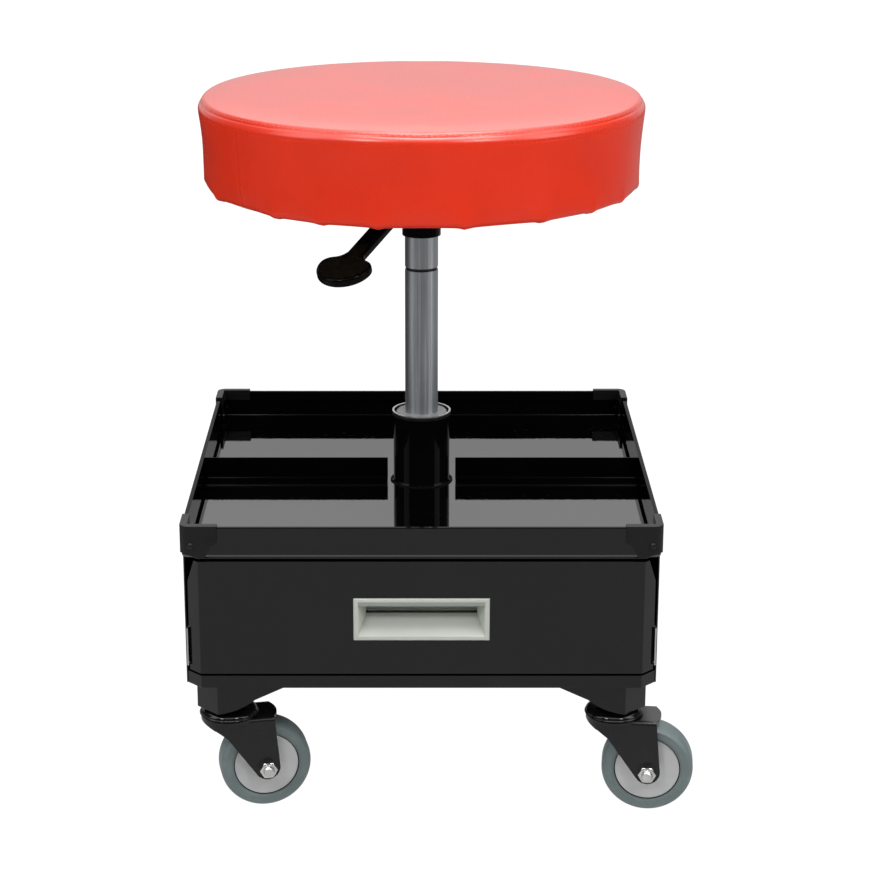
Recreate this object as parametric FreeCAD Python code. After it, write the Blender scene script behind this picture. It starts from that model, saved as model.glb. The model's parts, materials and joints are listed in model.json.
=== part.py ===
import FreeCAD, Part
import math
import os

# Creeper seat: a round padded seat on a gas lift, over a tool tray and a drawer cabinet on four
# swivelling casters. Millimetres, +Z up. The origin is on the floor under the lift's axis, +X runs to
# the right and -Y to the drawer's front. The seat stands at its highest and the drawer is shut.

Vector = FreeCAD.Vector

# Clearances used all over
OVERRUN = 5.0               # how far a cutting tool runs past what it cuts
TOUCH_GAP = 0.3             # air between pieces that nearly touch and move apart
SHAFT_GAP = 0.05            # running clearance on the radius of a shaft in its bore

# Nuts and bolt heads
HEX_LAND_SHARE = 0.95       # flat left on a head's face, as a share of its half width
HEX_REACH_SHARE = 1.1       # how far out the chamfer's cone is drawn, as a share of the corners
HEX_CHAMFER = 30.0          # degrees the chamfer falls away from the face

# Casters: wheel and tyre
WHEEL_RADIUS = 37.5
TREAD_WIDTH = 25.0
TREAD_FLAT_WIDTH = 12.0     # the part of the tread that rolls flat
TREAD_SHOULDER_DROP = 3.2
TYRE_SEAT_INSET = 1.0       # how far the tyre's side draws in where it meets the hub
TYRE_SEAT_HEIGHT = 2.0
HUB_RADIUS = 27.2
HUB_FACE_WIDTH = 21.0       # across the two flat faces of the hub's disc
HUB_GROOVE_WIDTH = 0.9      # groove that parts the disc from the tyre
HUB_GROOVE_DEPTH = 2.5
HUB_BOSS_RADIUS = 9.5
HUB_BOSS_SLOPE = 1.6        # radial length of the slope between disc and boss
HUB_BOSS_SIDE_GAP = 0.2     # air between the hub's boss and each fork leg
AXLE_RADIUS = 4.0
AXLE_HEAD_WIDTH = 13.0      # across the flats, of the bolt's head and of its nut
AXLE_HEAD_HEIGHT = 5.3
AXLE_NUT_HEIGHT = 6.5
AXLE_TAIL = 3.5             # thread that shows past the nut

# Casters: fork
FORK_SHEET = 2.5
FORK_INSIDE_WIDTH = 31.0
FORK_BEND_RADIUS = 3.5      # outside radius of the bends between crown and legs
FORK_TRAIL = 28.5           # how far the axle trails behind the swivel axis
FORK_TIP_RADIUS = 10.5
FORK_LEG_BACK = 35.0        # the leg's outline behind and ahead of the swivel axis, and its drops
FORK_LIP_DROP = 3.5
FORK_NECK_AHEAD = 13.0
FORK_NECK_DROP = 8.5
FORK_THROAT_AHEAD = 4.0
FORK_THROAT_DROP = 16.0
CROWN_RADIUS = 23.0
CROWN_REAR_BULGE = 4.0      # how far the crown's rear edge swells out between the legs
WHEEL_CROWN_GAP = 4.5

# Casters: stem and swivel head
CASTER_INSET = 25.0         # swivel axis to the corner leg's two faces
FRONT_LEFT_HEADING = 12.0   # degrees, the way each fork trails, counted from +X
FRONT_RIGHT_HEADING = -5.5
STEM_RADIUS = 6.0
STEM_COLLAR_RADIUS = 11.0
STEM_COLLAR_HEIGHT = 5.4
STEM_HEAD_RADIUS = 9.0
STEM_HEAD_HEIGHT = 3.0
STEM_HEAD_BEVEL = 1.0
STEM_TAIL = 4.0             # thread that shows past the nut
STEM_NUT_WIDTH = 19.0
STEM_NUT_HEIGHT = 10.0
DOME_RADIUS = 23.5
DOME_TOP_RADIUS = 15.0
DOME_HEIGHT = 6.6
DOME_LIP = 1.4
DOME_SHEET = 1.5
DOME_LIFT = 1.0             # air between the dome's lip and the fork's crown
BALL_RING_INNER = 12.0
BALL_RING_OUTER = 18.0
BALL_RING_HEIGHT = 3.5

# Corner legs under the cabinet
LEG_SHEET = 2.0
LEG_INSET = 6.8             # how far the legs stand in from the cabinet's sides
LEG_CORNER = 18.0           # length of the cut corner along each side
LEG_RISE = 22.0             # caster face to the cabinet's underside
LEG_SKIRT_DROP = 4.2        # how far the skirt hangs past the caster face
LEG_WING_LENGTH = 76.7
LEG_KNEE_LENGTH = 48.1      # from the leg's corner to where the wing's edge turns straight
LEG_KNEE_DROP = 13.3
LEG_KNEE_BULGE = 2.2
LEG_FLANGE_REACH = 47.0
LEG_FLANGE_WING = 30.0
STEM_HOLE_GAP = 0.3

# Cabinet
CABINET_WIDTH = 379.6
CABINET_HEIGHT = 112.5
CABINET_CORNER = 12.5
CABINET_SHEET = 1.2
CABINET_TOP_FLANGE = 14.0
CABINET_FLOOR_SHEET = 1.5
CABINET_FLOOR_RIM = 10.7
FLOOR_BEAD_HEIGHT = 2.2     # pressed stiffening beads along the floor
FLOOR_BEAD_WIDTH = 12.0
FLOOR_BEAD_LENGTH = 230.0
FLOOR_BEAD_PLACE = 105.0

# Drawer slides
SLIDE_SPACE = 12.7          # cabinet wall to drawer wall
SLIDE_SHEET = 1.2
SLIDE_HEIGHT = 32.0
SLIDE_RISE = 17.0           # cabinet's underside to the slide's lower edge
SLIDE_FLANGE = 9.4
SLIDE_WEB_FORWARD = 4.7     # how far the web reaches past the side panel's front edge
SLIDE_FLANGE_BACK = 5.5     # how far the flanges are cut back from the web's front end
SLIDE_LENGTH = 320.0
RUNNER_LENGTH = 300.0
RUNNER_SETBACK = 2.0        # slide's front end to the runner's, with the drawer shut
RUNNER_FLANGE = 9.5

# Drawer
DRAWER_FACE_INSET = 12.8    # cabinet's side to the front's flat middle, where the slanted wing starts
DRAWER_WING_DEPTH = 9.8     # how far each slanted wing runs back, and out
DRAWER_FRONT_SHEET = 1.2
DRAWER_FRONT_BOTTOM_GAP = 2.2
DRAWER_FRONT_TOP_GAP = 2.5
DRAWER_FRONT_HEM = 7.0
WING_CUT_WIDTH = 6.0
WING_CUT_HEIGHT = 20.0
PAN_SHEET = 1.0
PAN_LIFT = 3.6              # floor rim's edge to the pan's underside
PAN_HEIGHT = 72.0
PAN_DEPTH = 338.0
PAN_NOTCH_WIDTH = 58.0      # the slot that lets the pan shut round the lift's post
PAN_NOTCH_GAP = 6.0         # post to the blind end of that slot
RIVET_RADIUS = 2.0
RIVET_HEAD_RADIUS = 3.2
RIVET_HEAD_HEIGHT = 1.1
RIVET_TAIL_HEIGHT = 0.8
RIVET_COUNT = 3
RIVET_END_SETBACK = 25.0

# Drawer handle
HANDLE_WIDTH = 108.5
HANDLE_HEIGHT = 35.4
HANDLE_RISE = 29.6          # drawer front's lower edge to the handle's
HANDLE_PROUD = 2.0
HANDLE_EDGE_ROUND = 1.0
HANDLE_BODY_INSET = 1.5     # frame's outline to the body behind it
HANDLE_SIDE_BORDER = 3.7
HANDLE_TOP_BORDER = 6.0
HANDLE_BOTTOM_BORDER = 3.4
HANDLE_BODY_DEPTH = 24.0
HANDLE_WALL = 1.5
POCKET_SLOPE_DEPTH = 14.8   # how far back the sloping floor of the pocket runs
POCKET_SLOPE_RISE = 14.0
POCKET_SIDE_TAPER = 6.0
POCKET_SLOT_FRONT = 4.0     # finger slot's front wall, behind the drawer front's face

# Tool tray
TRAY_SHEET = 1.5
TRAY_DEPTH = 24.8
TRAY_CORNER_RADIUS = 6.0
TRAY_BOTTOM_BEND = 1.2
TRAY_HEM_THICKNESS = 3.2
TRAY_HEM_HEIGHT = 9.0
DIVIDER_SHEET = 1.2
DIVIDER_HEIGHT = 19.5
DIVIDER_FOOT = 19.0
DIVIDER_BEND_RADIUS = 2.4
DIVIDER_POST_GAP = 5.0
CAP_SHEET = 1.4
CAP_ABOVE_RIM = 1.8
CAP_INSIDE_DEPTH = 9.5
CAP_LENGTH = 30.0
CAP_STEP_DROP = 14.0        # the cap's straight end, from its top
CAP_STEP_WIDTH = 5.0
CAP_STEP_HEIGHT = 2.6
CAP_SLOPE_WIDTH = 5.0
CAP_CORNER_RISE = 3.6       # the lower edge slopes up towards the corner
CAP_CORNER_RELIEF = 7.0
CAP_TOP_ROUND = 0.8
CAP_SCREW_SETBACK = 8.6     # the cap's outside corner to its screw
CAP_SCREW_RISE = 10.0
CAP_SCREW_RADIUS = 1.5
CAP_SCREW_HEAD_RADIUS = 2.7
CAP_SCREW_HEAD_HEIGHT = 1.6
CAP_SCREW_TAIL = 3.0

# Post of the lift
POST_RADIUS = 24.1
POST_SHEET = 2.1
POST_RISE = 59.5            # how far the bare tube stands over the tray's floor
POST_RING_HEIGHT = 3.5
POST_RING_PROUD = 0.9
POST_RING_SHEET = 1.6
WELD_SIZE = 2.4
POST_CAP_RECESS = 5.5
POST_CAP_SHEET = 3.0
SOCKET_FLANGE_RADIUS = 44.0
SOCKET_FLANGE_SHEET = 3.0
SOCKET_WALL = 5.0
SOCKET_HEIGHT = 11.0
SLEEVE_LENGTH = 58.0
SLEEVE_TOP_DROP = 0.8       # ring's top edge to the sleeve's
SLEEVE_GROOVE = 1.4         # dark groove between the ring and the sleeve
SLEEVE_GROOVE_DEPTH = 3.0
SLEEVE_BEVEL = 1.0

# Gas lift
LIFT_STROKE = 110.0
LIFT_SHOW = 153.5           # cylinder that shows between ring and collar with the seat up
LIFT_RADIUS = 14.0
LIFT_BORE_RADIUS = 12.0
LIFT_GROOVE_DROP = 27.0     # collar's lower edge to the groove round the cylinder
LIFT_GROOVE_WIDTH = 2.6
LIFT_GROOVE_DEPTH = 0.8
LIFT_END_BEVEL = 1.2
LIFT_LOWER_CAP = 10.0
LIFT_UPPER_CAP = 16.0
LIFT_END_MARGIN = 0.5       # air left under the cylinder with the seat right down
ROD_RADIUS = 5.0
ROD_SHOULDER_RADIUS = 8.0
ROD_SHOULDER_HEIGHT = 3.5
ROD_TAIL = 1.5              # rod that shows past its clip
ROD_CLIP_GROOVE_DEPTH = 1.0
PISTON_HEIGHT = 10.0
PISTON_GAP = 1.5
RACE_HEIGHT = 2.0
RACE_RADIUS = 13.0
BALL_HEIGHT = 3.0
BALL_CAGE_RADIUS = 11.0
CLIP_RADIUS = 8.5
CLIP_HEIGHT = 1.8

# Seat mounting
COLLAR_RADIUS = 16.2
COLLAR_LENGTH = 30.5
SEAT_PLATE_WIDTH = 150.0
SEAT_PLATE_CORNER = 14.0
SEAT_PLATE_SHEET = 3.0
SEAT_PLATE_RISE = 11.2      # cylinder's top to the plate's underside
CHANNEL_INSIDE_WIDTH = 40.0
CHANNEL_SHEET = 2.5
CHANNEL_DROP = 22.0
CHANNEL_FRONT = 54.0
CHANNEL_BACK = 36.0
CHANNEL_FLOOR_FRONT = 24.0
SEAT_BOLT_INSET = 17.0      # plate's side to the bolt's axis
SEAT_BOLT_RADIUS = 3.0
SEAT_BOLT_HEAD_WIDTH = 10.0
SEAT_BOLT_HEAD_HEIGHT = 4.0
SEAT_BOLT_REACH = 9.0

# Release lever and valve button
LEVER_HEADING = -28.5       # degrees about +Z, from straight ahead
LEVER_PIVOT_REACH = 20.0
LEVER_SLOPE = 20.0          # degrees the lever falls away from the pivot
LEVER_SHEET = 4.0
LEVER_WIDTH = 12.0
LEVER_ARM_LENGTH = 58.0
LEVER_BOSS_RADIUS = 5.0
LEVER_BOSS_LENGTH = 24.0
LEVER_PIN_RADIUS = 3.0
LEVER_PIN_HEAD_RADIUS = 4.5
LEVER_PIN_HEAD_HEIGHT = 1.5
BUTTON_RADIUS = 3.0
BUTTON_RISE = 3.5
BUTTON_TRAVEL = 3.2
BUTTON_DEPTH = 10.0
BUTTON_WELL_MARGIN = 0.8
PADDLE_START = 38.0         # places along the lever, from the pivot
PADDLE_NECK_END = 93.0
PADDLE_END = 137.0
PADDLE_NECK_WIDTH = 15.5
PADDLE_WIDTH = 46.0
PADDLE_THICKNESS = 8.0
PADDLE_EDGE_ROUND = 2.6

# Seat
SEAT_RADIUS = 184.5
SEAT_HEIGHT = 77.0
SEAT_CROWN_DROP = 2.5       # how far the crown falls from the centre to the shoulder
SEAT_SHOULDER_WIDTH = 12.0
SEAT_SHOULDER_DROP = 6.0
SEAT_SHOULDER_BULGE = 2.4
SEAT_SIDE_LEAN = 4.0        # the side is drawn in towards its lower edge
SEAT_SIDE_HOLLOW = 1.2
SEAT_HEM_ROUND = 6.0
SEAT_HEM_BULGE = 1.8
SEAT_HEM_LAP = 28.0         # how far the cover is turned in under the board
COVER_SHEET = 1.2
BOARD_INSET = 16.5          # cushion's side to the edge of the board
BOARD_SHEET = 12.0

# Heights that follow from the sizes above
CROWN_TOP = 2 * WHEEL_RADIUS + WHEEL_CROWN_GAP + FORK_SHEET
CASTER_HEIGHT = CROWN_TOP + DOME_LIFT + DOME_HEIGHT + STEM_COLLAR_HEIGHT
CABINET_BOTTOM = CASTER_HEIGHT + LEG_RISE
CABINET_TOP = CABINET_BOTTOM + CABINET_HEIGHT
CABINET_FLOOR = CABINET_BOTTOM + CABINET_FLOOR_SHEET
FLOOR_RIM_TOP = CABINET_BOTTOM + CABINET_FLOOR_RIM
PAN_BOTTOM = FLOOR_RIM_TOP + PAN_LIFT
DRAWER_FRONT_BOTTOM = FLOOR_RIM_TOP + DRAWER_FRONT_BOTTOM_GAP
DRAWER_FRONT_TOP = CABINET_TOP - CABINET_SHEET - DRAWER_FRONT_TOP_GAP
SLIDE_BOTTOM = CABINET_BOTTOM + SLIDE_RISE
HANDLE_BOTTOM = DRAWER_FRONT_BOTTOM + HANDLE_RISE
TRAY_FLOOR = CABINET_TOP + TRAY_SHEET
TRAY_RIM = CABINET_TOP + TRAY_DEPTH
POST_TOP = TRAY_FLOOR + POST_RISE
RING_TOP = POST_TOP + POST_RING_HEIGHT
POST_CAP_TOP = CABINET_FLOOR + POST_CAP_RECESS + POST_CAP_SHEET
LOWER_RACE_TOP = POST_CAP_TOP + RACE_HEIGHT
UPPER_RACE_BOTTOM = LOWER_RACE_TOP + BALL_HEIGHT
UPPER_RACE_TOP = UPPER_RACE_BOTTOM + RACE_HEIGHT
ROD_SHOULDER_TOP = UPPER_RACE_TOP + ROD_SHOULDER_HEIGHT
LIFT_BOTTOM = ROD_SHOULDER_TOP + LIFT_END_MARGIN + LIFT_STROKE
COLLAR_BOTTOM = RING_TOP + LIFT_SHOW
LIFT_TOP = COLLAR_BOTTOM + COLLAR_LENGTH
LEVER_PIVOT_HEIGHT = LIFT_TOP + BUTTON_RISE + TOUCH_GAP + LEVER_SHEET / 2
PLATE_BOTTOM = LIFT_TOP + SEAT_PLATE_RISE
BOARD_BOTTOM = PLATE_BOTTOM + SEAT_PLATE_SHEET
SEAT_BOTTOM = BOARD_BOTTOM - COVER_SHEET
SEAT_TOP = SEAT_BOTTOM + SEAT_HEIGHT

# Widths and depths that follow from the sizes above
BOARD_RADIUS = SEAT_RADIUS - BOARD_INSET
SEAT_HEM_OPENING = BOARD_RADIUS - SEAT_HEM_LAP
CABINET_HALF = CABINET_WIDTH / 2
CABINET_INSIDE = CABINET_HALF - CABINET_SHEET
FACE_BACK = CABINET_HALF - DRAWER_FRONT_SHEET
SIDE_PANEL_FRONT = CABINET_HALF - CABINET_CORNER
SLIDE_FRONT = SIDE_PANEL_FRONT + SLIDE_WEB_FORWARD
PAN_HALF = CABINET_INSIDE - SLIDE_SPACE
PAN_BACK = PAN_DEPTH - FACE_BACK
LEG_HALF = CABINET_HALF - LEG_INSET
CASTER_SPREAD = LEG_HALF - CASTER_INSET
SEAT_BOLT_SPACING = SEAT_PLATE_WIDTH - 2 * SEAT_BOLT_INSET
FORK_HALF = FORK_INSIDE_WIDTH / 2 + FORK_SHEET
DIAGONAL_SHARE = 2 - math.sqrt(2)    # how fast a 45-degree corner shortens as an outline moves in


class Outline:
    """A closed outline of lines and arcs, drawn in a plane of its own and then set in space."""

    def __init__(self, u, v):
        self.first = (u, v)
        self.last = (u, v)
        self.steps = []

    def line(self, u, v):
        self.steps.append((self.last, None, (u, v)))
        self.last = (u, v)
        return self

    def arc(self, middle, end):
        self.steps.append((self.last, middle, end))
        self.last = end
        return self

    def bulge(self, u, v, height):
        """An arc to (u, v) that stands height to the left of its chord."""
        (a, b) = self.last
        length = math.hypot(u - a, v - b)
        middle = ((a + u) / 2 - height * (v - b) / length, (b + v) / 2 + height * (u - a) / length)
        return self.arc(middle, (u, v))

    def face(self, place):
        """The outline's face, with place turning (u, v) into a point in space."""
        edges = []
        for start, middle, end in self.steps + [(self.last, None, self.first)]:
            if middle is not None:
                edges.append(Part.Arc(place(*start), place(*middle), place(*end)).toShape())
            elif start != end:
                edges.append(Part.makeLine(place(*start), place(*end)))
        return Part.Face(Part.Wire(edges))

    def above(self, low, high):
        """The outline drawn in plan and raised from low to high."""
        return self.face(lambda u, v: Vector(u, v, low)).extrude(Vector(0, 0, high - low))

    def along_y(self, start, end):
        """The outline drawn in X and Z and run from start to end along Y."""
        return self.face(lambda u, v: Vector(u, start, v)).extrude(Vector(0, end - start, 0))

    def along_x(self, start, end):
        """The outline drawn in Y and Z and run from start to end along X."""
        return self.face(lambda u, v: Vector(start, u, v)).extrude(Vector(end - start, 0, 0))

    def round_z(self):
        """The outline, drawn as radius and height, turned about the Z axis."""
        return self.face(lambda u, v: Vector(u, 0, v)).revolve(Vector(0, 0, 0), Vector(0, 0, 1), 360)

    def round_y(self):
        """The outline, drawn as radius and place along Y, turned about the Y axis."""
        return self.face(lambda u, v: Vector(u, v, 0)).revolve(Vector(0, 0, 0), Vector(0, 1, 0), 360)


def polygon(*points):
    outline = Outline(*points[0])
    for point in points[1:]:
        outline.line(*point)
    return outline


def box(x0, x1, y0, y1, z0, z1):
    return Part.makeBox(x1 - x0, y1 - y0, z1 - z0, Vector(x0, y0, z0))


def rod(radius, low, high, x=0, y=0):
    return Part.makeCylinder(radius, high - low, Vector(x, y, low))


def rod_y(radius, start, end, x, z):
    return Part.makeCylinder(radius, end - start, Vector(x, start, z), Vector(0, 1, 0))


def rod_x(radius, start, end, y, z):
    return Part.makeCylinder(radius, end - start, Vector(start, y, z), Vector(1, 0, 0))


def tube(outer, inner, low, high, x=0, y=0):
    return rod(outer, low, high, x, y).cut(rod(inner, low - OVERRUN, high + OVERRUN, x, y))


def hexagon(flats, seat, face):
    """A six-sided nut or bolt head that bears at seat; its corners are turned off at its outer face."""
    corner = flats / math.sqrt(3)
    angles = [math.radians(60 * side) for side in range(6)]
    block = polygon(*[(corner * math.cos(a), corner * math.sin(a)) for a in angles])
    land = flats / 2 * HEX_LAND_SHARE
    reach = corner * HEX_REACH_SHARE
    drop = math.copysign((reach - land) * math.tan(math.radians(HEX_CHAMFER)), seat - face)
    cone = polygon((0, seat), (reach, seat), (reach, face + drop), (land, face), (0, face)).round_z()
    return block.above(min(seat, face), max(seat, face)).common(cone)


def cut_corner_square(half, corner, low, high):
    """A square block whose upright edges are cut off at 45 degrees."""
    short = half - corner
    points = [(short, -half), (half, -short), (half, short), (short, half)]
    points += [(-x, -y) for x, y in points]
    return polygon(*points).above(low, high)


def rounded_square(half, radius, low, high):
    """A square block whose upright edges are rounded."""
    block = box(-half, half, -half, half, low, high)
    upright = [edge for edge in block.Edges if edge.BoundBox.ZLength > (high - low) / 2]
    return block.makeFillet(radius, upright)


def turned(shape, degrees, centre=Vector(0, 0, 0), axis=Vector(0, 0, 1)):
    copy = shape.copy()
    copy.rotate(centre, axis, degrees)
    return copy


def moved(shape, x, y, z):
    copy = shape.copy()
    copy.translate(Vector(x, y, z))
    return copy


def mirrored_x(shape):
    return shape.mirror(Vector(0, 0, 0), Vector(1, 0, 0))


def tangent_rise(run, fall):
    """How far an arc stands off its chord if it leaves one end along the run and ends fall away from it."""
    return math.hypot(run, fall) / 2 * math.tan(math.atan2(fall, run) / 2)


def tangent_point(centre, radius, point, side):
    """Where a line from point touches the circle; side picks which of the two touches."""
    across = point[0] - centre[0]
    up = point[1] - centre[1]
    angle = math.atan2(up, across) + side * math.acos(radius / math.hypot(across, up))
    return angle, (centre[0] + radius * math.cos(angle), centre[1] + radius * math.sin(angle))


def caster_tyre():
    """Grey tyre with a flat tread and rounded shoulders, turned about its own axle."""
    wide = TREAD_WIDTH / 2
    flat = TREAD_FLAT_WIDTH / 2
    seat = wide - TYRE_SEAT_INSET
    low = WHEEL_RADIUS - TREAD_SHOULDER_DROP
    shoulder = tangent_rise(wide - flat, TREAD_SHOULDER_DROP)
    outline = Outline(HUB_RADIUS, -seat)
    outline.line(HUB_RADIUS + TYRE_SEAT_HEIGHT, -wide)
    outline.line(low, -wide)
    outline.bulge(WHEEL_RADIUS, -flat, -shoulder)
    outline.line(WHEEL_RADIUS, flat)
    outline.bulge(low, wide, -shoulder)
    outline.line(HUB_RADIUS + TYRE_SEAT_HEIGHT, wide)
    outline.line(HUB_RADIUS, seat)
    return outline.round_y()


def caster_hub():
    """Moulded hub: a flat disc with a groove inside the tyre, and a boss that runs on the axle bolt."""
    bore = AXLE_RADIUS + SHAFT_GAP
    face = HUB_FACE_WIDTH / 2
    groove = face - HUB_GROOVE_DEPTH
    boss = FORK_INSIDE_WIDTH / 2 - HUB_BOSS_SIDE_GAP
    half = [
        (bore, boss),
        (HUB_BOSS_RADIUS, boss),
        (HUB_BOSS_RADIUS + HUB_BOSS_SLOPE, face),
        (HUB_RADIUS - HUB_GROOVE_WIDTH, face),
        (HUB_RADIUS - HUB_GROOVE_WIDTH, groove),
        (HUB_RADIUS, groove),
    ]
    return polygon(*[(r, -y) for r, y in half], *reversed(half)).round_y()


def caster_fork():
    """Pressed fork: a lipped crown under the swivel head and two trailing legs that hold the axle."""
    outer = FORK_HALF
    inner = FORK_INSIDE_WIDTH / 2
    top = CROWN_TOP
    under = CROWN_TOP - FORK_SHEET
    bend = FORK_BEND_RADIUS
    inside_bend = FORK_BEND_RADIUS - FORK_SHEET
    share = 1 - math.sqrt(0.5)
    section = Outline(-outer, 0)
    section.line(-outer, top - bend)
    section.arc((-outer + bend * share, top - bend * share), (-outer + bend, top))
    section.line(outer - bend, top)
    section.arc((outer - bend * share, top - bend * share), (outer, top - bend))
    section.line(outer, 0).line(inner, 0)
    section.line(inner, under - inside_bend)
    section.arc((inner - inside_bend * share, under - inside_bend * share), (inner - inside_bend, under))
    section.line(inside_bend - inner, under)
    section.arc((inside_bend * share - inner, under - inside_bend * share), (-inner, under - inside_bend))
    section.line(-inner, 0)
    front = -math.sqrt(CROWN_RADIUS ** 2 - outer ** 2)
    bent = section.along_x(front, FORK_LEG_BACK + FORK_TIP_RADIUS)
    lip = tube(CROWN_RADIUS, CROWN_RADIUS - FORK_SHEET, 0, top)
    lip = lip.common(box(-CROWN_RADIUS, front, -outer, outer, 0, top))
    axle = (FORK_TRAIL, WHEEL_RADIUS)
    throat = (-FORK_THROAT_AHEAD, top - FORK_THROAT_DROP)
    back = (FORK_LEG_BACK, top)
    leading_angle, leading = tangent_point(axle, FORK_TIP_RADIUS, throat, 1)
    trailing_angle, trailing = tangent_point(axle, FORK_TIP_RADIUS, back, -1)
    bottom_angle = (leading_angle + trailing_angle + math.tau) / 2
    tip = FORK_TIP_RADIUS
    bottom = (axle[0] + tip * math.cos(bottom_angle), axle[1] + tip * math.sin(bottom_angle))
    side = Outline(-CROWN_RADIUS, top)
    side.line(-CROWN_RADIUS, top - FORK_LIP_DROP)
    side.line(-FORK_NECK_AHEAD, top - FORK_NECK_DROP)
    side.line(*throat).line(*leading)
    side.arc(bottom, trailing)
    side.line(*back)
    fork = bent.fuse(lip).common(side.along_y(-outer - OVERRUN, outer + OVERRUN))
    rear = Outline(FORK_LEG_BACK, bend - outer)
    rear.bulge(FORK_LEG_BACK, outer - bend, -CROWN_REAR_BULGE)
    fork = fork.fuse([rod(CROWN_RADIUS, under, top), rear.above(under, top)]).removeSplitter()
    fork = fork.cut(rod(STEM_RADIUS + SHAFT_GAP, under - OVERRUN, top + OVERRUN))
    return fork.cut(rod_y(AXLE_RADIUS, -outer - OVERRUN, outer + OVERRUN, FORK_TRAIL, WHEEL_RADIUS))


def caster_axle():
    """The axle bolt with its nut, through both legs of the fork; drawn lying along Y at the axle."""
    nut_start = -FORK_HALF - AXLE_NUT_HEIGHT
    shank = rod(AXLE_RADIUS, nut_start - AXLE_TAIL, FORK_HALF)
    head = hexagon(AXLE_HEAD_WIDTH, FORK_HALF, FORK_HALF + AXLE_HEAD_HEIGHT)
    bolt = shank.fuse(head).removeSplitter()
    nut = hexagon(AXLE_HEAD_WIDTH, -FORK_HALF, nut_start)
    nut = nut.cut(rod(AXLE_RADIUS, nut_start - OVERRUN, -FORK_HALF + OVERRUN))
    return [turned(piece, -90, axis=Vector(1, 0, 0)) for piece in (bolt, nut)]


def caster_places():
    """Name, swivel axis and heading of each caster; the rear pair is the front pair turned half round."""
    spread = CASTER_SPREAD
    return [
        ("front_left", -spread, -spread, FRONT_LEFT_HEADING),
        ("front_right", spread, -spread, FRONT_RIGHT_HEADING),
        ("rear_left", -spread, spread, FRONT_RIGHT_HEADING + 180),
        ("rear_right", spread, spread, FRONT_LEFT_HEADING + 180),
    ]


def casters():
    """Fork, axle, hub and tyre of each of the four casters, each set at its own heading."""
    pieces = {}
    for name, x, y, heading in caster_places():
        def set_down(shape):
            return moved(turned(shape, heading), x, y, 0)

        def on_axle(shape):
            return set_down(moved(shape, FORK_TRAIL, 0, WHEEL_RADIUS))

        pieces["fork_" + name] = set_down(caster_fork())
        pieces["axle_" + name] = Part.makeCompound([on_axle(piece) for piece in caster_axle()])
        pieces["wheel_hub_" + name] = on_axle(caster_hub())
        pieces["tyre_" + name] = on_axle(caster_tyre())
    return pieces


def at_casters(shape):
    return Part.makeCompound([moved(shape, x, y, 0) for _, x, y, _ in caster_places()])


def caster_stem():
    """Kingpin and threaded stem in one: headed under the crown, collared under the leg."""
    head_top = CROWN_TOP - FORK_SHEET - TOUCH_GAP
    head_bottom = head_top - STEM_HEAD_HEIGHT
    collar_bottom = CASTER_HEIGHT - STEM_COLLAR_HEIGHT
    stem_top = CASTER_HEIGHT + LEG_SHEET + STEM_NUT_HEIGHT + STEM_TAIL
    return polygon(
        (0, head_bottom),
        (STEM_HEAD_RADIUS - STEM_HEAD_BEVEL, head_bottom),
        (STEM_HEAD_RADIUS, head_bottom + STEM_HEAD_BEVEL),
        (STEM_HEAD_RADIUS, head_top),
        (STEM_RADIUS, head_top),
        (STEM_RADIUS, collar_bottom),
        (STEM_COLLAR_RADIUS, collar_bottom),
        (STEM_COLLAR_RADIUS, CASTER_HEIGHT),
        (STEM_RADIUS, CASTER_HEIGHT),
        (STEM_RADIUS, stem_top),
        (0, stem_top),
    ).round_z()


def caster_nut():
    low = CASTER_HEIGHT + LEG_SHEET
    high = low + STEM_NUT_HEIGHT
    return hexagon(STEM_NUT_WIDTH, low, high).cut(rod(STEM_RADIUS, low - OVERRUN, high + OVERRUN))


def caster_dome():
    """The glossy pressed dome over the swivel's balls."""
    top = CASTER_HEIGHT - STEM_COLLAR_HEIGHT
    bottom = top - DOME_HEIGHT
    rise = DOME_HEIGHT - DOME_LIP
    run = DOME_RADIUS - DOME_TOP_RADIUS
    dome = Outline(DOME_RADIUS, bottom)
    dome.line(DOME_RADIUS, bottom + DOME_LIP)
    dome.bulge(DOME_TOP_RADIUS, top, -tangent_rise(run, rise))
    dome.line(STEM_RADIUS, top).line(STEM_RADIUS, top - DOME_SHEET)
    dome.line(DOME_TOP_RADIUS, top - DOME_SHEET)
    inner_rise = tangent_rise(run - DOME_SHEET, rise - DOME_SHEET)
    dome.bulge(DOME_RADIUS - DOME_SHEET, bottom + DOME_LIP, inner_rise)
    dome.line(DOME_RADIUS - DOME_SHEET, bottom)
    return dome.round_z()


def caster_ball_ring():
    """The caged ring of balls between the dome and the crown."""
    low = CROWN_TOP + TOUCH_GAP
    high = low + BALL_RING_HEIGHT
    ring = Outline(BALL_RING_INNER, low)
    ring.line(BALL_RING_OUTER, low)
    ring.bulge(BALL_RING_OUTER, high, -BALL_RING_HEIGHT / 4)
    ring.line(BALL_RING_INNER, high)
    return ring.round_z()


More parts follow.
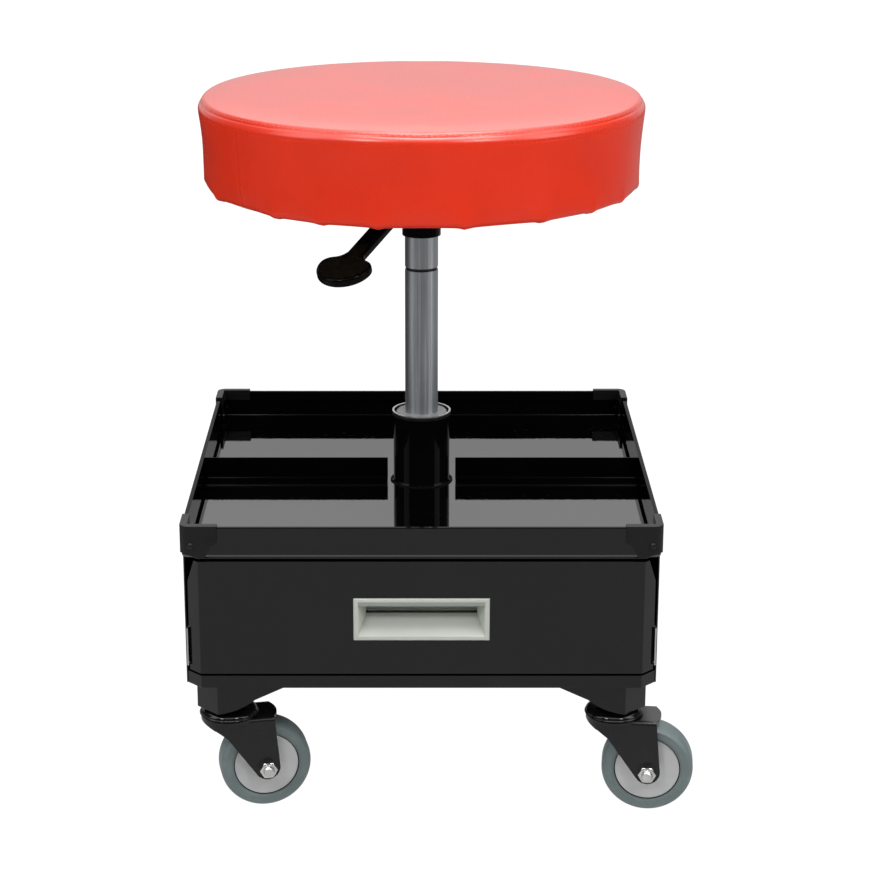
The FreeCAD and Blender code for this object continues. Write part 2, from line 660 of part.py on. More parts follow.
def corner_leg():
    """Corner leg at the front left: two wings with shaped lower edges, a cut corner and the caster flange."""
    top = CABINET_BOTTOM
    low = CASTER_HEIGHT - LEG_SKIRT_DROP
    outer = cut_corner_square(LEG_HALF, LEG_CORNER, low, top)
    inner_corner = LEG_CORNER - LEG_SHEET * DIAGONAL_SHARE
    inner_half = LEG_HALF - LEG_SHEET
    skin = outer.cut(cut_corner_square(inner_half, inner_corner, low - OVERRUN, top + OVERRUN))
    corner = LEG_HALF + OVERRUN
    wing = Outline(-(LEG_HALF - LEG_WING_LENGTH), top)
    wing.line(-(LEG_HALF - LEG_KNEE_LENGTH), top - LEG_KNEE_DROP)
    wing.bulge(-(LEG_HALF - LEG_CORNER), low, LEG_KNEE_BULGE)
    wing.line(-corner, low).line(-corner, top)
    skin = skin.common(wing.along_y(-corner, 0)).common(wing.along_x(-corner, 0))
    reach = LEG_HALF - LEG_FLANGE_REACH
    wing_end = LEG_HALF - LEG_FLANGE_WING
    flange = polygon(
        (-wing_end, -inner_half),
        (-reach, -reach - inner_corner),
        (-reach, -reach),
        (-reach - inner_corner, -reach),
        (-inner_half, -wing_end),
        (-inner_half, inner_corner - inner_half),
        (inner_corner - inner_half, -inner_half),
    ).above(CASTER_HEIGHT, CASTER_HEIGHT + LEG_SHEET)
    hole = rod(STEM_RADIUS + STEM_HOLE_GAP, low, top, -CASTER_SPREAD, -CASTER_SPREAD)
    return skin.fuse(flange).removeSplitter().cut(hole)


def corner_legs():
    names = ["front_left", "front_right", "rear_right", "rear_left"]
    return {"corner_leg_" + name: turned(corner_leg(), 90 * turn) for turn, name in enumerate(names)}


def cabinet_shell():
    """Sides and back in one folded sheet, with a flange all round the top and the front left open."""
    half = CABINET_HALF
    corner = CABINET_CORNER
    inside_corner = corner - CABINET_SHEET * DIAGONAL_SHARE
    walls = cut_corner_square(half, corner, CABINET_BOTTOM, CABINET_TOP)
    hollow_top = CABINET_TOP - CABINET_SHEET
    walls = walls.cut(cut_corner_square(CABINET_INSIDE, inside_corner, CABINET_BOTTOM - OVERRUN, hollow_top))
    hatch = half - CABINET_TOP_FLANGE
    hatch_corner = corner - CABINET_TOP_FLANGE * DIAGONAL_SHARE
    walls = walls.cut(cut_corner_square(hatch, hatch_corner, hollow_top - OVERRUN, CABINET_TOP + OVERRUN))
    open_back = inside_corner - CABINET_INSIDE
    front = box(-half, half, -half - OVERRUN, open_back, CABINET_BOTTOM - OVERRUN, hollow_top)
    return walls.cut(front)


def cabinet_floor():
    """Shallow floor pan with an upturned rim and pressed beads, hollow underneath."""
    corner = CABINET_CORNER - CABINET_SHEET * DIAGONAL_SHARE
    inner_corner = corner - CABINET_FLOOR_SHEET * DIAGONAL_SHARE
    pan = cut_corner_square(CABINET_INSIDE, corner, CABINET_BOTTOM, FLOOR_RIM_TOP)
    inner_half = CABINET_INSIDE - CABINET_FLOOR_SHEET
    pan = pan.cut(cut_corner_square(inner_half, inner_corner, CABINET_FLOOR, FLOOR_RIM_TOP + OVERRUN))
    half = FLOOR_BEAD_LENGTH / 2
    for side in (-1, 1):
        middle = side * FLOOR_BEAD_PLACE
        wide = FLOOR_BEAD_WIDTH / 2
        bead = Outline(middle - wide, CABINET_FLOOR)
        bead.bulge(middle + wide, CABINET_FLOOR, FLOOR_BEAD_HEIGHT)
        groove = Outline(middle - wide, CABINET_BOTTOM)
        groove.bulge(middle + wide, CABINET_BOTTOM, FLOOR_BEAD_HEIGHT)
        pan = pan.fuse(bead.along_y(-half, half)).cut(groove.along_y(-half, half))
    return pan.removeSplitter()


def slide_channel():
    """Right-hand channel fixed to the cabinet wall, open towards the drawer."""
    low = SLIDE_BOTTOM
    high = SLIDE_BOTTOM + SLIDE_HEIGHT
    wall = CABINET_INSIDE
    web = wall - SLIDE_SHEET
    back = SLIDE_LENGTH - SLIDE_FRONT
    channel = box(wall - SLIDE_FLANGE - SLIDE_SHEET, wall, -SLIDE_FRONT, back, low, high)
    hollow = box(wall - SLIDE_SPACE - OVERRUN, web, -SLIDE_FRONT - OVERRUN, back + OVERRUN,
                 low + SLIDE_SHEET, high - SLIDE_SHEET)
    flange_front = SLIDE_FLANGE_BACK - SLIDE_FRONT
    set_back = box(wall - SLIDE_SPACE - OVERRUN, web, -SLIDE_FRONT - OVERRUN, flange_front,
                   low - OVERRUN, high + OVERRUN)
    return channel.cut(hollow).cut(set_back)


def drawer_runner():
    """Right-hand runner riveted to the drawer, whose flanges ride inside the channel's."""
    low = SLIDE_BOTTOM + SLIDE_SHEET + TOUCH_GAP
    high = SLIDE_BOTTOM + SLIDE_HEIGHT - SLIDE_SHEET - TOUCH_GAP
    front = SLIDE_FLANGE_BACK + RUNNER_SETBACK - SLIDE_FRONT
    back = front + RUNNER_LENGTH
    web = PAN_HALF + SLIDE_SHEET
    runner = box(PAN_HALF, PAN_HALF + RUNNER_FLANGE, front, back, low, high)
    hollow = box(web, PAN_HALF + RUNNER_FLANGE + OVERRUN, front - OVERRUN, back + OVERRUN,
                 low + SLIDE_SHEET, high - SLIDE_SHEET)
    runner = runner.cut(hollow)
    for y, z in rivet_places():
        runner = runner.cut(rod_x(RIVET_RADIUS, PAN_HALF - OVERRUN, web + OVERRUN, y, z))
    return runner


def rivet_places():
    """Where the rivets join the runner to the drawer's side, as Y and Z."""
    middle = SLIDE_BOTTOM + SLIDE_HEIGHT / 2
    front = SLIDE_FLANGE_BACK + RUNNER_SETBACK - SLIDE_FRONT + RIVET_END_SETBACK
    step = (RUNNER_LENGTH - 2 * RIVET_END_SETBACK) / (RIVET_COUNT - 1)
    return [(front + step * index, middle) for index in range(RIVET_COUNT)]


def drawer_rivets():
    wall = PAN_HALF - PAN_SHEET
    web = PAN_HALF + SLIDE_SHEET
    rivets = []
    for y, z in rivet_places():
        rivet = rod_x(RIVET_HEAD_RADIUS, wall - RIVET_HEAD_HEIGHT, wall, y, z)
        rivet = rivet.fuse(rod_x(RIVET_RADIUS, wall, web, y, z))
        rivet = rivet.fuse(rod_x(RIVET_RADIUS + RIVET_TAIL_HEIGHT, web, web + RIVET_TAIL_HEIGHT, y, z))
        rivets += [rivet, mirrored_x(rivet)]
    return Part.makeCompound(rivets)


def handle_block(start, end, inset):
    """The handle's outline, drawn in by inset and run from start to end along Y."""
    half = HANDLE_WIDTH / 2 - inset
    return box(-half, half, start, end, HANDLE_BOTTOM + inset, HANDLE_BOTTOM + HANDLE_HEIGHT - inset)


def drawer_front():
    """Front sheet with two slanted wings, hemmed above and below, pierced for the handle."""
    flat = CABINET_HALF - DRAWER_FACE_INSET
    tip = flat + DRAWER_WING_DEPTH
    tip_back = CABINET_HALF - DRAWER_WING_DEPTH
    sheet = DRAWER_FRONT_SHEET
    inner_flat = flat - sheet * math.tan(math.pi / 8)
    slant = sheet * math.sqrt(0.5)
    outer = [(-tip, -tip_back), (-flat, -CABINET_HALF), (flat, -CABINET_HALF), (tip, -tip_back)]
    inner = [(tip - slant, slant - tip_back), (inner_flat, -FACE_BACK), (-inner_flat, -FACE_BACK),
             (slant - tip, slant - tip_back)]
    bottom = DRAWER_FRONT_BOTTOM
    top = DRAWER_FRONT_TOP
    front = polygon(*outer, *inner).above(bottom, top)
    hem_back = DRAWER_FRONT_HEM - FACE_BACK
    for z in (bottom, top - sheet):
        front = front.fuse(box(-inner_flat, inner_flat, -FACE_BACK, hem_back, z, z + sheet))
    past = tip + OVERRUN
    for side in (-1, 1):
        clip = polygon(
            (side * (tip - WING_CUT_WIDTH), top),
            (side * tip, top - WING_CUT_HEIGHT),
            (side * past, top - WING_CUT_HEIGHT),
            (side * past, top + OVERRUN),
            (side * (tip - WING_CUT_WIDTH), top + OVERRUN),
        )
        front = front.cut(clip.along_y(-CABINET_HALF - OVERRUN, 0))
    hole = handle_block(-CABINET_HALF - OVERRUN, OVERRUN - FACE_BACK, HANDLE_BODY_INSET)
    return front.removeSplitter().cut(hole)


def pan_outline(inset):
    """The drawer pan's plan, drawn in by inset: a rectangle with a slot in from the back for the post."""
    side = PAN_HALF - inset
    front = inset - FACE_BACK
    back = PAN_BACK - inset
    slot = PAN_NOTCH_WIDTH / 2 + inset
    slot_end = -(POST_RADIUS + PAN_NOTCH_GAP) - inset
    return polygon((-side, front), (side, front), (side, back), (slot, back), (slot, slot_end),
                   (-slot, slot_end), (-slot, back), (-side, back))


def drawer_pan():
    pan = pan_outline(0).above(PAN_BOTTOM, PAN_BOTTOM + PAN_HEIGHT)
    pan = pan.cut(pan_outline(PAN_SHEET).above(PAN_BOTTOM + PAN_SHEET, PAN_BOTTOM + PAN_HEIGHT + OVERRUN))
    pan = pan.cut(handle_block(-FACE_BACK - OVERRUN, OVERRUN - FACE_BACK, HANDLE_BODY_INSET))
    for y, z in rivet_places():
        for side in (-PAN_HALF, PAN_HALF):
            pan = pan.cut(rod_x(RIVET_RADIUS, side - OVERRUN, side + OVERRUN, y, z))
    return pan


def drawer_handle():
    """Flush pull: a raised frame and a pocket whose floor slopes up to a finger slot behind the frame."""
    face = -CABINET_HALF
    front = face - HANDLE_PROUD
    back = face + HANDLE_BODY_DEPTH
    frame = handle_block(front, face, 0)
    edges = [edge for edge in frame.Edges if edge.BoundBox.YMax < face - HANDLE_PROUD / 2]
    frame = frame.makeFillet(HANDLE_EDGE_ROUND, edges)
    handle = frame.fuse(handle_block(face, back, HANDLE_BODY_INSET)).removeSplitter()
    mouth_half = HANDLE_WIDTH / 2 - HANDLE_SIDE_BORDER
    mouth_low = HANDLE_BOTTOM + HANDLE_BOTTOM_BORDER
    mouth_high = HANDLE_BOTTOM + HANDLE_HEIGHT - HANDLE_TOP_BORDER
    end_half = mouth_half - POCKET_SIDE_TAPER
    end_low = mouth_low + POCKET_SLOPE_RISE

    def pocket_ring(y, half, low):
        corners = [(-half, low), (half, low), (half, mouth_high), (-half, mouth_high)]
        points = [Vector(x, y, z) for x, z in corners]
        return Part.makePolygon(points + points[:1])

    pocket = Part.makeLoft([pocket_ring(front, mouth_half, mouth_low),
                            pocket_ring(face + POCKET_SLOPE_DEPTH, end_half, end_low)], True, True)
    slot_top = HANDLE_BOTTOM + HANDLE_HEIGHT - HANDLE_BODY_INSET - HANDLE_WALL
    slot = box(-end_half, end_half, face + POCKET_SLOT_FRONT, back - HANDLE_WALL, end_low, slot_top)
    mouth = box(-mouth_half, mouth_half, front - OVERRUN, front, mouth_low, mouth_high)
    return handle.cut(pocket.fuse(slot).fuse(mouth))


def tray_pan():
    """Tray pressed from one sheet, with a folded hem round its rim and a hole for the post."""
    half = CABINET_HALF
    pan = rounded_square(half, TRAY_CORNER_RADIUS, CABINET_TOP, TRAY_RIM)
    low_edges = [edge for edge in pan.Edges if edge.BoundBox.ZMax < CABINET_TOP + TRAY_SHEET / 2]
    pan = pan.makeFillet(TRAY_BOTTOM_BEND, low_edges)
    hem = TRAY_HEM_THICKNESS
    above = TRAY_RIM + OVERRUN
    pan = pan.cut(rounded_square(half - hem, TRAY_CORNER_RADIUS - hem, TRAY_RIM - TRAY_HEM_HEIGHT, above))
    inner_radius = TRAY_CORNER_RADIUS - TRAY_SHEET
    pan = pan.cut(rounded_square(half - TRAY_SHEET, inner_radius, TRAY_FLOOR, TRAY_RIM - TRAY_HEM_HEIGHT))
    pan = pan.cut(rod(POST_RADIUS, CABINET_TOP - OVERRUN, TRAY_RIM))
    for screw in cap_screw_shanks(CAP_SCREW_RADIUS):
        pan = pan.cut(screw)
    return pan


def tray_divider():
    """Left-hand divider: an upright sheet with a foot turned towards the front."""
    inner = -(POST_RADIUS + DIVIDER_POST_GAP)
    outer = -(CABINET_HALF - TRAY_SHEET)
    sheet = DIVIDER_SHEET
    low = TRAY_FLOOR
    high = TRAY_FLOOR + DIVIDER_HEIGHT
    bend = DIVIDER_BEND_RADIUS
    inside = bend - sheet
    share = 1 - math.sqrt(0.5)
    back = sheet / 2
    section = Outline(back, high)
    section.line(-back, high)
    section.line(-back, low + bend)
    section.arc((-back - inside * share, low + sheet + inside * share), (-back - inside, low + sheet))
    section.line(back - DIVIDER_FOOT, low + sheet)
    section.line(back - DIVIDER_FOOT, low)
    section.line(back - bend, low)
    section.arc((back - bend * share, low + bend * share), (back, low + bend))
    divider = section.along_x(outer, inner)
    hem_room = box(outer - OVERRUN, outer + TRAY_HEM_THICKNESS - TRAY_SHEET, -DIVIDER_FOOT, DIVIDER_FOOT,
                   TRAY_RIM - TRAY_HEM_HEIGHT, TRAY_RIM)
    return divider.cut(hem_room)


def cap_screw_shanks(radius):
    """The four screw shanks through the caps and the tray's front and back walls."""
    across = CABINET_HALF + CAP_SHEET - CAP_SCREW_SETBACK
    start = CABINET_HALF - TRAY_SHEET - CAP_SCREW_TAIL
    end = CABINET_HALF + CAP_SHEET
    height = CABINET_TOP + CAP_SCREW_RISE
    shank = rod_y(radius, start, end, across, height)
    return [turned(shank, 180), mirrored_x(turned(shank, 180)), shank, mirrored_x(shank)]


def tray_screws():
    """Small domed screws, one through each corner cap."""
    across = CABINET_HALF + CAP_SHEET - CAP_SCREW_SETBACK
    face = CABINET_HALF + CAP_SHEET
    crown = CAP_SCREW_HEAD_RADIUS / 2
    profile = Outline(0, face)
    profile.line(CAP_SCREW_HEAD_RADIUS, face)
    profile.bulge(crown, face + CAP_SCREW_HEAD_HEIGHT, -CAP_SCREW_HEAD_HEIGHT / 4)
    profile.line(0, face + CAP_SCREW_HEAD_HEIGHT)
    head = moved(profile.round_y(), across, 0, CABINET_TOP + CAP_SCREW_RISE)
    heads = [turned(head, 180), mirrored_x(turned(head, 180)), head, mirrored_x(head)]
    return Part.makeCompound([a.fuse(b) for a, b in zip(heads, cap_screw_shanks(CAP_SCREW_RADIUS))])


def tray_corner_caps():
    """Moulded caps that straddle the rim at each corner, with a stepped and slanted end."""
    outer = CABINET_HALF + CAP_SHEET
    top = TRAY_RIM + CAP_ABOVE_RIM
    low = CABINET_TOP
    hem = TRAY_HEM_THICKNESS
    block = rounded_square(outer, TRAY_CORNER_RADIUS + CAP_SHEET, low, top)
    rim = [edge for edge in block.Edges if edge.BoundBox.ZMin > TRAY_RIM]
    block = block.makeFillet(CAP_TOP_ROUND, rim)
    inner_half = CABINET_HALF - hem - CAP_SHEET
    inner_radius = TRAY_CORNER_RADIUS - hem - CAP_SHEET
    block = block.cut(rounded_square(inner_half, inner_radius, low - OVERRUN, top + OVERRUN))
    block = block.cut(rounded_square(CABINET_HALF, TRAY_CORNER_RADIUS, low - OVERRUN, TRAY_RIM).cut(
        rounded_square(CABINET_HALF - hem, TRAY_CORNER_RADIUS - hem, low - OVERRUN, TRAY_RIM + OVERRUN)))
    block = block.cut(rounded_square(CABINET_HALF - hem, TRAY_CORNER_RADIUS - hem,
                                     low - OVERRUN, top - CAP_INSIDE_DEPTH))
    straight = outer - CAP_LENGTH
    stepped = straight + CAP_STEP_WIDTH
    past = outer + OVERRUN
    step_height = top - CAP_STEP_DROP
    end = Outline(-straight, top + OVERRUN)
    end.line(-straight, step_height)
    end.line(-stepped, step_height - CAP_STEP_HEIGHT)
    end.line(-stepped - CAP_SLOPE_WIDTH, low)
    end.line(-past, low).line(-past, top + OVERRUN)
    cap = block.common(end.along_y(-past, 0)).common(end.along_x(-past, 0))
    radius = TRAY_CORNER_RADIUS + CAP_SHEET
    tip = (outer - radius) * math.sqrt(2) + radius
    relief = polygon((-tip + CAP_CORNER_RELIEF, low), (-tip, low + CAP_CORNER_RISE), (-tip - OVERRUN, low),
                     (-tip, low - OVERRUN))
    cap = cap.cut(turned(relief.along_y(-CAP_LENGTH, CAP_LENGTH), 45))
    caps = []
    for turn in range(4):
        piece = turned(cap, 90 * turn)
        for screw in cap_screw_shanks(CAP_SCREW_RADIUS):
            piece = piece.cut(screw)
        caps.append(piece)
    return Part.makeCompound(caps)


def post_tube():
    """Post of the lift: a tube with a pierced end cap low inside it and a weld round its foot on the tray."""
    inner = POST_RADIUS - POST_SHEET
    weld_top = TRAY_FLOOR + WELD_SIZE
    weld = polygon((inner, TRAY_FLOOR), (POST_RADIUS + WELD_SIZE, TRAY_FLOOR),
                   (POST_RADIUS, weld_top), (inner, weld_top)).round_z()
    post = rod(POST_RADIUS, CABINET_FLOOR, POST_TOP).fuse(weld).removeSplitter()
    post = post.cut(rod(inner, POST_CAP_TOP, POST_TOP + OVERRUN))
    post = post.cut(rod(inner, CABINET_FLOOR - OVERRUN, POST_CAP_TOP - POST_CAP_SHEET))
    return post.cut(rod(ROD_RADIUS + SHAFT_GAP, CABINET_FLOOR, POST_TOP))


def post_socket():
    """Flanged foot welded to the cabinet's floor, which holds the post upright."""
    flange = rod(SOCKET_FLANGE_RADIUS, CABINET_FLOOR, CABINET_FLOOR + SOCKET_FLANGE_SHEET)
    wall = rod(POST_RADIUS + SOCKET_WALL, CABINET_FLOOR, CABINET_FLOOR + SOCKET_HEIGHT)
    hole = rod(POST_RADIUS, CABINET_FLOOR - OVERRUN, CABINET_FLOOR + SOCKET_HEIGHT + OVERRUN)
    return flange.fuse(wall).removeSplitter().cut(hole)


def post_collar_ring():
    """Bright ring on the post's upper end, turned in over its edge."""
    outer = POST_RADIUS + POST_RING_PROUD
    return tube(outer, outer - POST_RING_SHEET, POST_TOP, RING_TOP)


def post_guide_sleeve():
    """Plastic sleeve that guides the cylinder, with a groove between it and the ring."""
    bore = LIFT_RADIUS + SHAFT_GAP
    fit = POST_RADIUS - POST_SHEET
    top = RING_TOP - SLEEVE_TOP_DROP
    head = POST_RADIUS + POST_RING_PROUD - POST_RING_SHEET - SLEEVE_GROOVE
    bottom = POST_TOP - SLEEVE_LENGTH
    return polygon(
        (bore, bottom),
        (fit, bottom),
        (fit, POST_TOP - SLEEVE_GROOVE_DEPTH + SLEEVE_BEVEL),
        (head - SLEEVE_BEVEL, POST_TOP - SLEEVE_GROOVE_DEPTH + SLEEVE_BEVEL),
        (head - SLEEVE_BEVEL, POST_TOP),
        (head, POST_TOP),
        (head, top - SLEEVE_BEVEL),
        (head - SLEEVE_BEVEL, top),
        (bore, top),
    ).round_z()


def thrust_washer():
    """Lower race of the thrust bearing, on the post's end cap."""
    return tube(RACE_RADIUS, ROD_RADIUS + SHAFT_GAP, POST_CAP_TOP, LOWER_RACE_TOP)


def thrust_bearing():
    """Caged balls and upper race, which turn with the rod."""
    low = LOWER_RACE_TOP + SHAFT_GAP
    profile = Outline(ROD_RADIUS, low)
    profile.line(BALL_CAGE_RADIUS, low)
    profile.bulge(BALL_CAGE_RADIUS, UPPER_RACE_BOTTOM, -BALL_HEIGHT / 4)
    profile.line(RACE_RADIUS, UPPER_RACE_BOTTOM)
    profile.line(RACE_RADIUS, UPPER_RACE_TOP)
    profile.line(ROD_RADIUS, UPPER_RACE_TOP)
    return profile.round_z()


def clip_bottom():
    return POST_CAP_TOP - POST_CAP_SHEET - TOUCH_GAP - CLIP_HEIGHT


def piston_rod():
    """Rod of the gas lift: its shoulder rests on the bearing and its piston stays inside the cylinder."""
    bottom = clip_bottom() - ROD_TAIL
    piston_bottom = LIFT_BOTTOM + LIFT_LOWER_CAP + PISTON_GAP
    piston = LIFT_BORE_RADIUS - SHAFT_GAP
    neck = ROD_RADIUS - ROD_CLIP_GROOVE_DEPTH
    clip_top = clip_bottom() + CLIP_HEIGHT
    return polygon(
        (0, bottom),
        (ROD_RADIUS, bottom),
        (ROD_RADIUS, clip_bottom()),
        (neck, clip_bottom()),
        (neck, clip_top),
        (ROD_RADIUS, clip_top),
        (ROD_RADIUS, UPPER_RACE_TOP),
        (ROD_SHOULDER_RADIUS, UPPER_RACE_TOP),
        (ROD_SHOULDER_RADIUS, ROD_SHOULDER_TOP),
        (ROD_RADIUS, ROD_SHOULDER_TOP),
        (ROD_RADIUS, piston_bottom),
        (piston, piston_bottom),
        (piston, piston_bottom + PISTON_HEIGHT),
        (0, piston_bottom + PISTON_HEIGHT),
    ).round_z()


def rod_clip():
    """Open spring clip in the rod's groove, under the post's end cap."""
    neck = ROD_RADIUS - ROD_CLIP_GROOVE_DEPTH
    clip = tube(CLIP_RADIUS, neck, clip_bottom(), clip_bottom() + CLIP_HEIGHT)
    mouth = box(0, CLIP_RADIUS + OVERRUN, -neck / 2, neck / 2, clip_bottom() - OVERRUN, POST_TOP)
    return clip.cut(mouth)


def lift_cylinder():
    """Pressure cylinder, with the rod's bore in its lower end and the valve button's well in its upper."""
    bottom = LIFT_BOTTOM
    top = LIFT_TOP
    groove_top = COLLAR_BOTTOM - LIFT_GROOVE_DROP
    groove_bottom = groove_top - LIFT_GROOVE_WIDTH
    rod_bore = ROD_RADIUS + SHAFT_GAP
    well = BUTTON_RADIUS + SHAFT_GAP
    well_bottom = top - BUTTON_DEPTH - BUTTON_TRAVEL - BUTTON_WELL_MARGIN
    return polygon(
        (rod_bore, bottom),
        (LIFT_RADIUS - LIFT_END_BEVEL, bottom),
        (LIFT_RADIUS, bottom + LIFT_END_BEVEL),
        (LIFT_RADIUS, groove_bottom),
        (LIFT_RADIUS - LIFT_GROOVE_DEPTH, groove_bottom),
        (LIFT_RADIUS - LIFT_GROOVE_DEPTH, groove_top),
        (LIFT_RADIUS, groove_top),
        (LIFT_RADIUS, top - LIFT_END_BEVEL),
        (LIFT_RADIUS - LIFT_END_BEVEL, top),
        (well, top),
        (well, well_bottom),
        (0, well_bottom),
        (0, top - LIFT_UPPER_CAP),
        (LIFT_BORE_RADIUS, top - LIFT_UPPER_CAP),
        (LIFT_BORE_RADIUS, bottom + LIFT_LOWER_CAP),
        (rod_bore, bottom + LIFT_LOWER_CAP),
    ).round_z()


def release_button():
    return rod(BUTTON_RADIUS, LIFT_TOP - BUTTON_DEPTH, LIFT_TOP + BUTTON_RISE)


def seat_collar():
    """Socket tube of the seat mounting, pressed over the cylinder's upper end."""
    return tube(COLLAR_RADIUS, LIFT_RADIUS, COLLAR_BOTTOM, LIFT_TOP)


def to_lever_heading(shape):
    return turned(shape, LEVER_HEADING)


def seat_plate():
    """Mounting plate with a channel folded down under it, which holds the collar and the lever's pin."""
    plate = cut_corner_square(SEAT_PLATE_WIDTH / 2, SEAT_PLATE_CORNER, PLATE_BOTTOM, BOARD_BOTTOM)
    inner = CHANNEL_INSIDE_WIDTH / 2
    outer = inner + CHANNEL_SHEET
    low = PLATE_BOTTOM - CHANNEL_DROP
    for side in (-outer, inner):
        plate = plate.fuse(box(side, side + CHANNEL_SHEET, -CHANNEL_FRONT, CHANNEL_BACK, low, PLATE_BOTTOM))
    floor = box(-outer, outer, -CHANNEL_FLOOR_FRONT, CHANNEL_BACK, low, low + CHANNEL_SHEET)
    plate = plate.fuse(floor).removeSplitter()
    plate = plate.cut(rod(COLLAR_RADIUS, low - OVERRUN, low + CHANNEL_SHEET + OVERRUN))
    plate = plate.cut(rod_x(LEVER_PIN_RADIUS, -outer - OVERRUN, outer + OVERRUN, -LEVER_PIVOT_REACH,
                            LEVER_PIVOT_HEIGHT))
    for bolt in seat_bolt_shanks():
        plate = plate.cut(bolt)
    return to_lever_heading(plate)


def seat_bolt_shanks():
    half = SEAT_BOLT_SPACING / 2
    shank = rod(SEAT_BOLT_RADIUS, PLATE_BOTTOM, BOARD_BOTTOM + SEAT_BOLT_REACH, half, half)
    return [turned(shank, 90 * turn) for turn in range(4)]


def seat_bolts():
    half = SEAT_BOLT_SPACING / 2
    head = hexagon(SEAT_BOLT_HEAD_WIDTH, PLATE_BOTTOM, PLATE_BOTTOM - SEAT_BOLT_HEAD_HEIGHT)
    head = moved(head, half, half, 0)
    bolts = [turned(head, 90 * turn).fuse(shank) for turn, shank in enumerate(seat_bolt_shanks())]
    return to_lever_heading(Part.makeCompound(bolts))


def lever_pin():
    outer = CHANNEL_INSIDE_WIDTH / 2 + CHANNEL_SHEET
    y = -LEVER_PIVOT_REACH
    z = LEVER_PIVOT_HEIGHT
    pin = rod_x(LEVER_PIN_RADIUS, -outer, outer, y, z)
    for start in (-outer - LEVER_PIN_HEAD_HEIGHT, outer):
        pin = pin.fuse(rod_x(LEVER_PIN_HEAD_RADIUS, start, start + LEVER_PIN_HEAD_HEIGHT, y, z))
    return to_lever_heading(pin)


def lever_frame(shape):
    """Takes a shape drawn with the pivot at the origin and the lever along -Y, level, to its place."""
    sloped = turned(shape, LEVER_SLOPE, axis=Vector(1, 0, 0))
    return to_lever_heading(moved(sloped, 0, -LEVER_PIVOT_REACH, LEVER_PIVOT_HEIGHT))


def lever_arm_blank():
    """The outer, sloping run of the arm, in the lever's own frame."""
    half = LEVER_SHEET / 2
    wide = LEVER_WIDTH / 2
    return box(-wide, wide, -LEVER_ARM_LENGTH, 0, -half, half)


def lever_arm():
    """Flat steel arm: a level finger over the valve button, a pivot boss and a run that slopes outwards."""
    half = LEVER_SHEET / 2
    finger = box(-BUTTON_RADIUS, BUTTON_RADIUS, -LEVER_PIVOT_REACH, BUTTON_RADIUS,
                 LEVER_PIVOT_HEIGHT - half, LEVER_PIVOT_HEIGHT + half)
    boss_half = LEVER_BOSS_LENGTH / 2
    boss = rod_x(LEVER_BOSS_RADIUS, -boss_half, boss_half, 0, 0)
    bore = rod_x(LEVER_PIN_RADIUS + SHAFT_GAP, -boss_half - OVERRUN, boss_half + OVERRUN, 0, 0)
    arm = lever_frame(lever_arm_blank().fuse(boss)).fuse(to_lever_heading(finger)).removeSplitter()
    return arm.cut(lever_frame(bore))


def lever_paddle():
    """Moulded grip: a narrow neck over the arm that swells in an even curve into a round-ended paddle."""
    neck = PADDLE_NECK_WIDTH / 2
    wide = PADDLE_WIDTH / 2
    half = PADDLE_THICKNESS / 2
    start = -PADDLE_START
    neck_end = -PADDLE_NECK_END
    widest = wide - PADDLE_END
    middle = ((neck + wide) / 2, (neck_end + widest) / 2)
    run = (neck_end - widest) / 2
    spread = (wide - neck) / 2
    swell = tangent_rise(run, spread)
    share = math.sqrt(0.5)
    plan = Outline(-neck, start)
    plan.line(-neck, neck_end)
    plan.bulge(-middle[0], middle[1], swell)
    plan.bulge(-wide, widest, -swell)
    plan.arc((-wide * share, widest - wide * share), (0, -PADDLE_END))
    plan.arc((wide * share, widest - wide * share), (wide, widest))
    plan.bulge(*middle, -swell)
    plan.bulge(neck, neck_end, swell)
    plan.line(neck, start)
    paddle = plan.above(-half, half)
    rims = [edge for edge in paddle.Edges if edge.BoundBox.ZLength < half / 2]
    paddle = paddle.makeFillet(PADDLE_EDGE_ROUND, rims)
    return lever_frame(paddle.cut(lever_arm_blank()))


def cushion(inset):
    """The cushion drawn in by inset: a crowned top, a rounded shoulder, drawn-in sides and a rolled hem."""
    top = SEAT_TOP - inset
    radius = SEAT_RADIUS - inset
    low_radius = radius - SEAT_SIDE_LEAN
    bottom = SEAT_BOTTOM + inset
    shoulder = radius - SEAT_SHOULDER_WIDTH
    shoulder_height = top - SEAT_CROWN_DROP
    crown_radius = (shoulder ** 2 + SEAT_CROWN_DROP ** 2) / (2 * SEAT_CROWN_DROP)
    half_turn = math.asin(shoulder / crown_radius) / 2
    crown_middle = (crown_radius * math.sin(half_turn), top - crown_radius * (1 - math.cos(half_turn)))
    profile = Outline(0, top)
    profile.arc(crown_middle, (shoulder, shoulder_height))
    profile.bulge(radius, shoulder_height - SEAT_SHOULDER_DROP, SEAT_SHOULDER_BULGE)
    profile.bulge(low_radius, bottom + SEAT_HEM_ROUND, -SEAT_SIDE_HOLLOW)
    profile.bulge(low_radius - SEAT_HEM_ROUND, bottom, SEAT_HEM_BULGE)
    profile.line(0, bottom)
    return profile.round_z()


def seat_board():
    board = rod(BOARD_RADIUS, BOARD_BOTTOM, BOARD_BOTTOM + BOARD_SHEET)
    for bolt in seat_bolt_shanks():
        board = board.cut(to_lever_heading(bolt))
    return board


def seat_foam():
    """Foam that fills the cover and wraps the board's edge."""
    return cushion(COVER_SHEET).cut(rod(BOARD_RADIUS, BOARD_BOTTOM - OVERRUN, BOARD_BOTTOM + BOARD_SHEET))


def seat_cover():
    """Vinyl cover drawn over the foam and turned in under the board, open in the middle of its underside."""
    cover = cushion(0).cut(cushion(COVER_SHEET))
    return cover.cut(rod(SEAT_HEM_OPENING, SEAT_BOTTOM - OVERRUN, BOARD_BOTTOM))


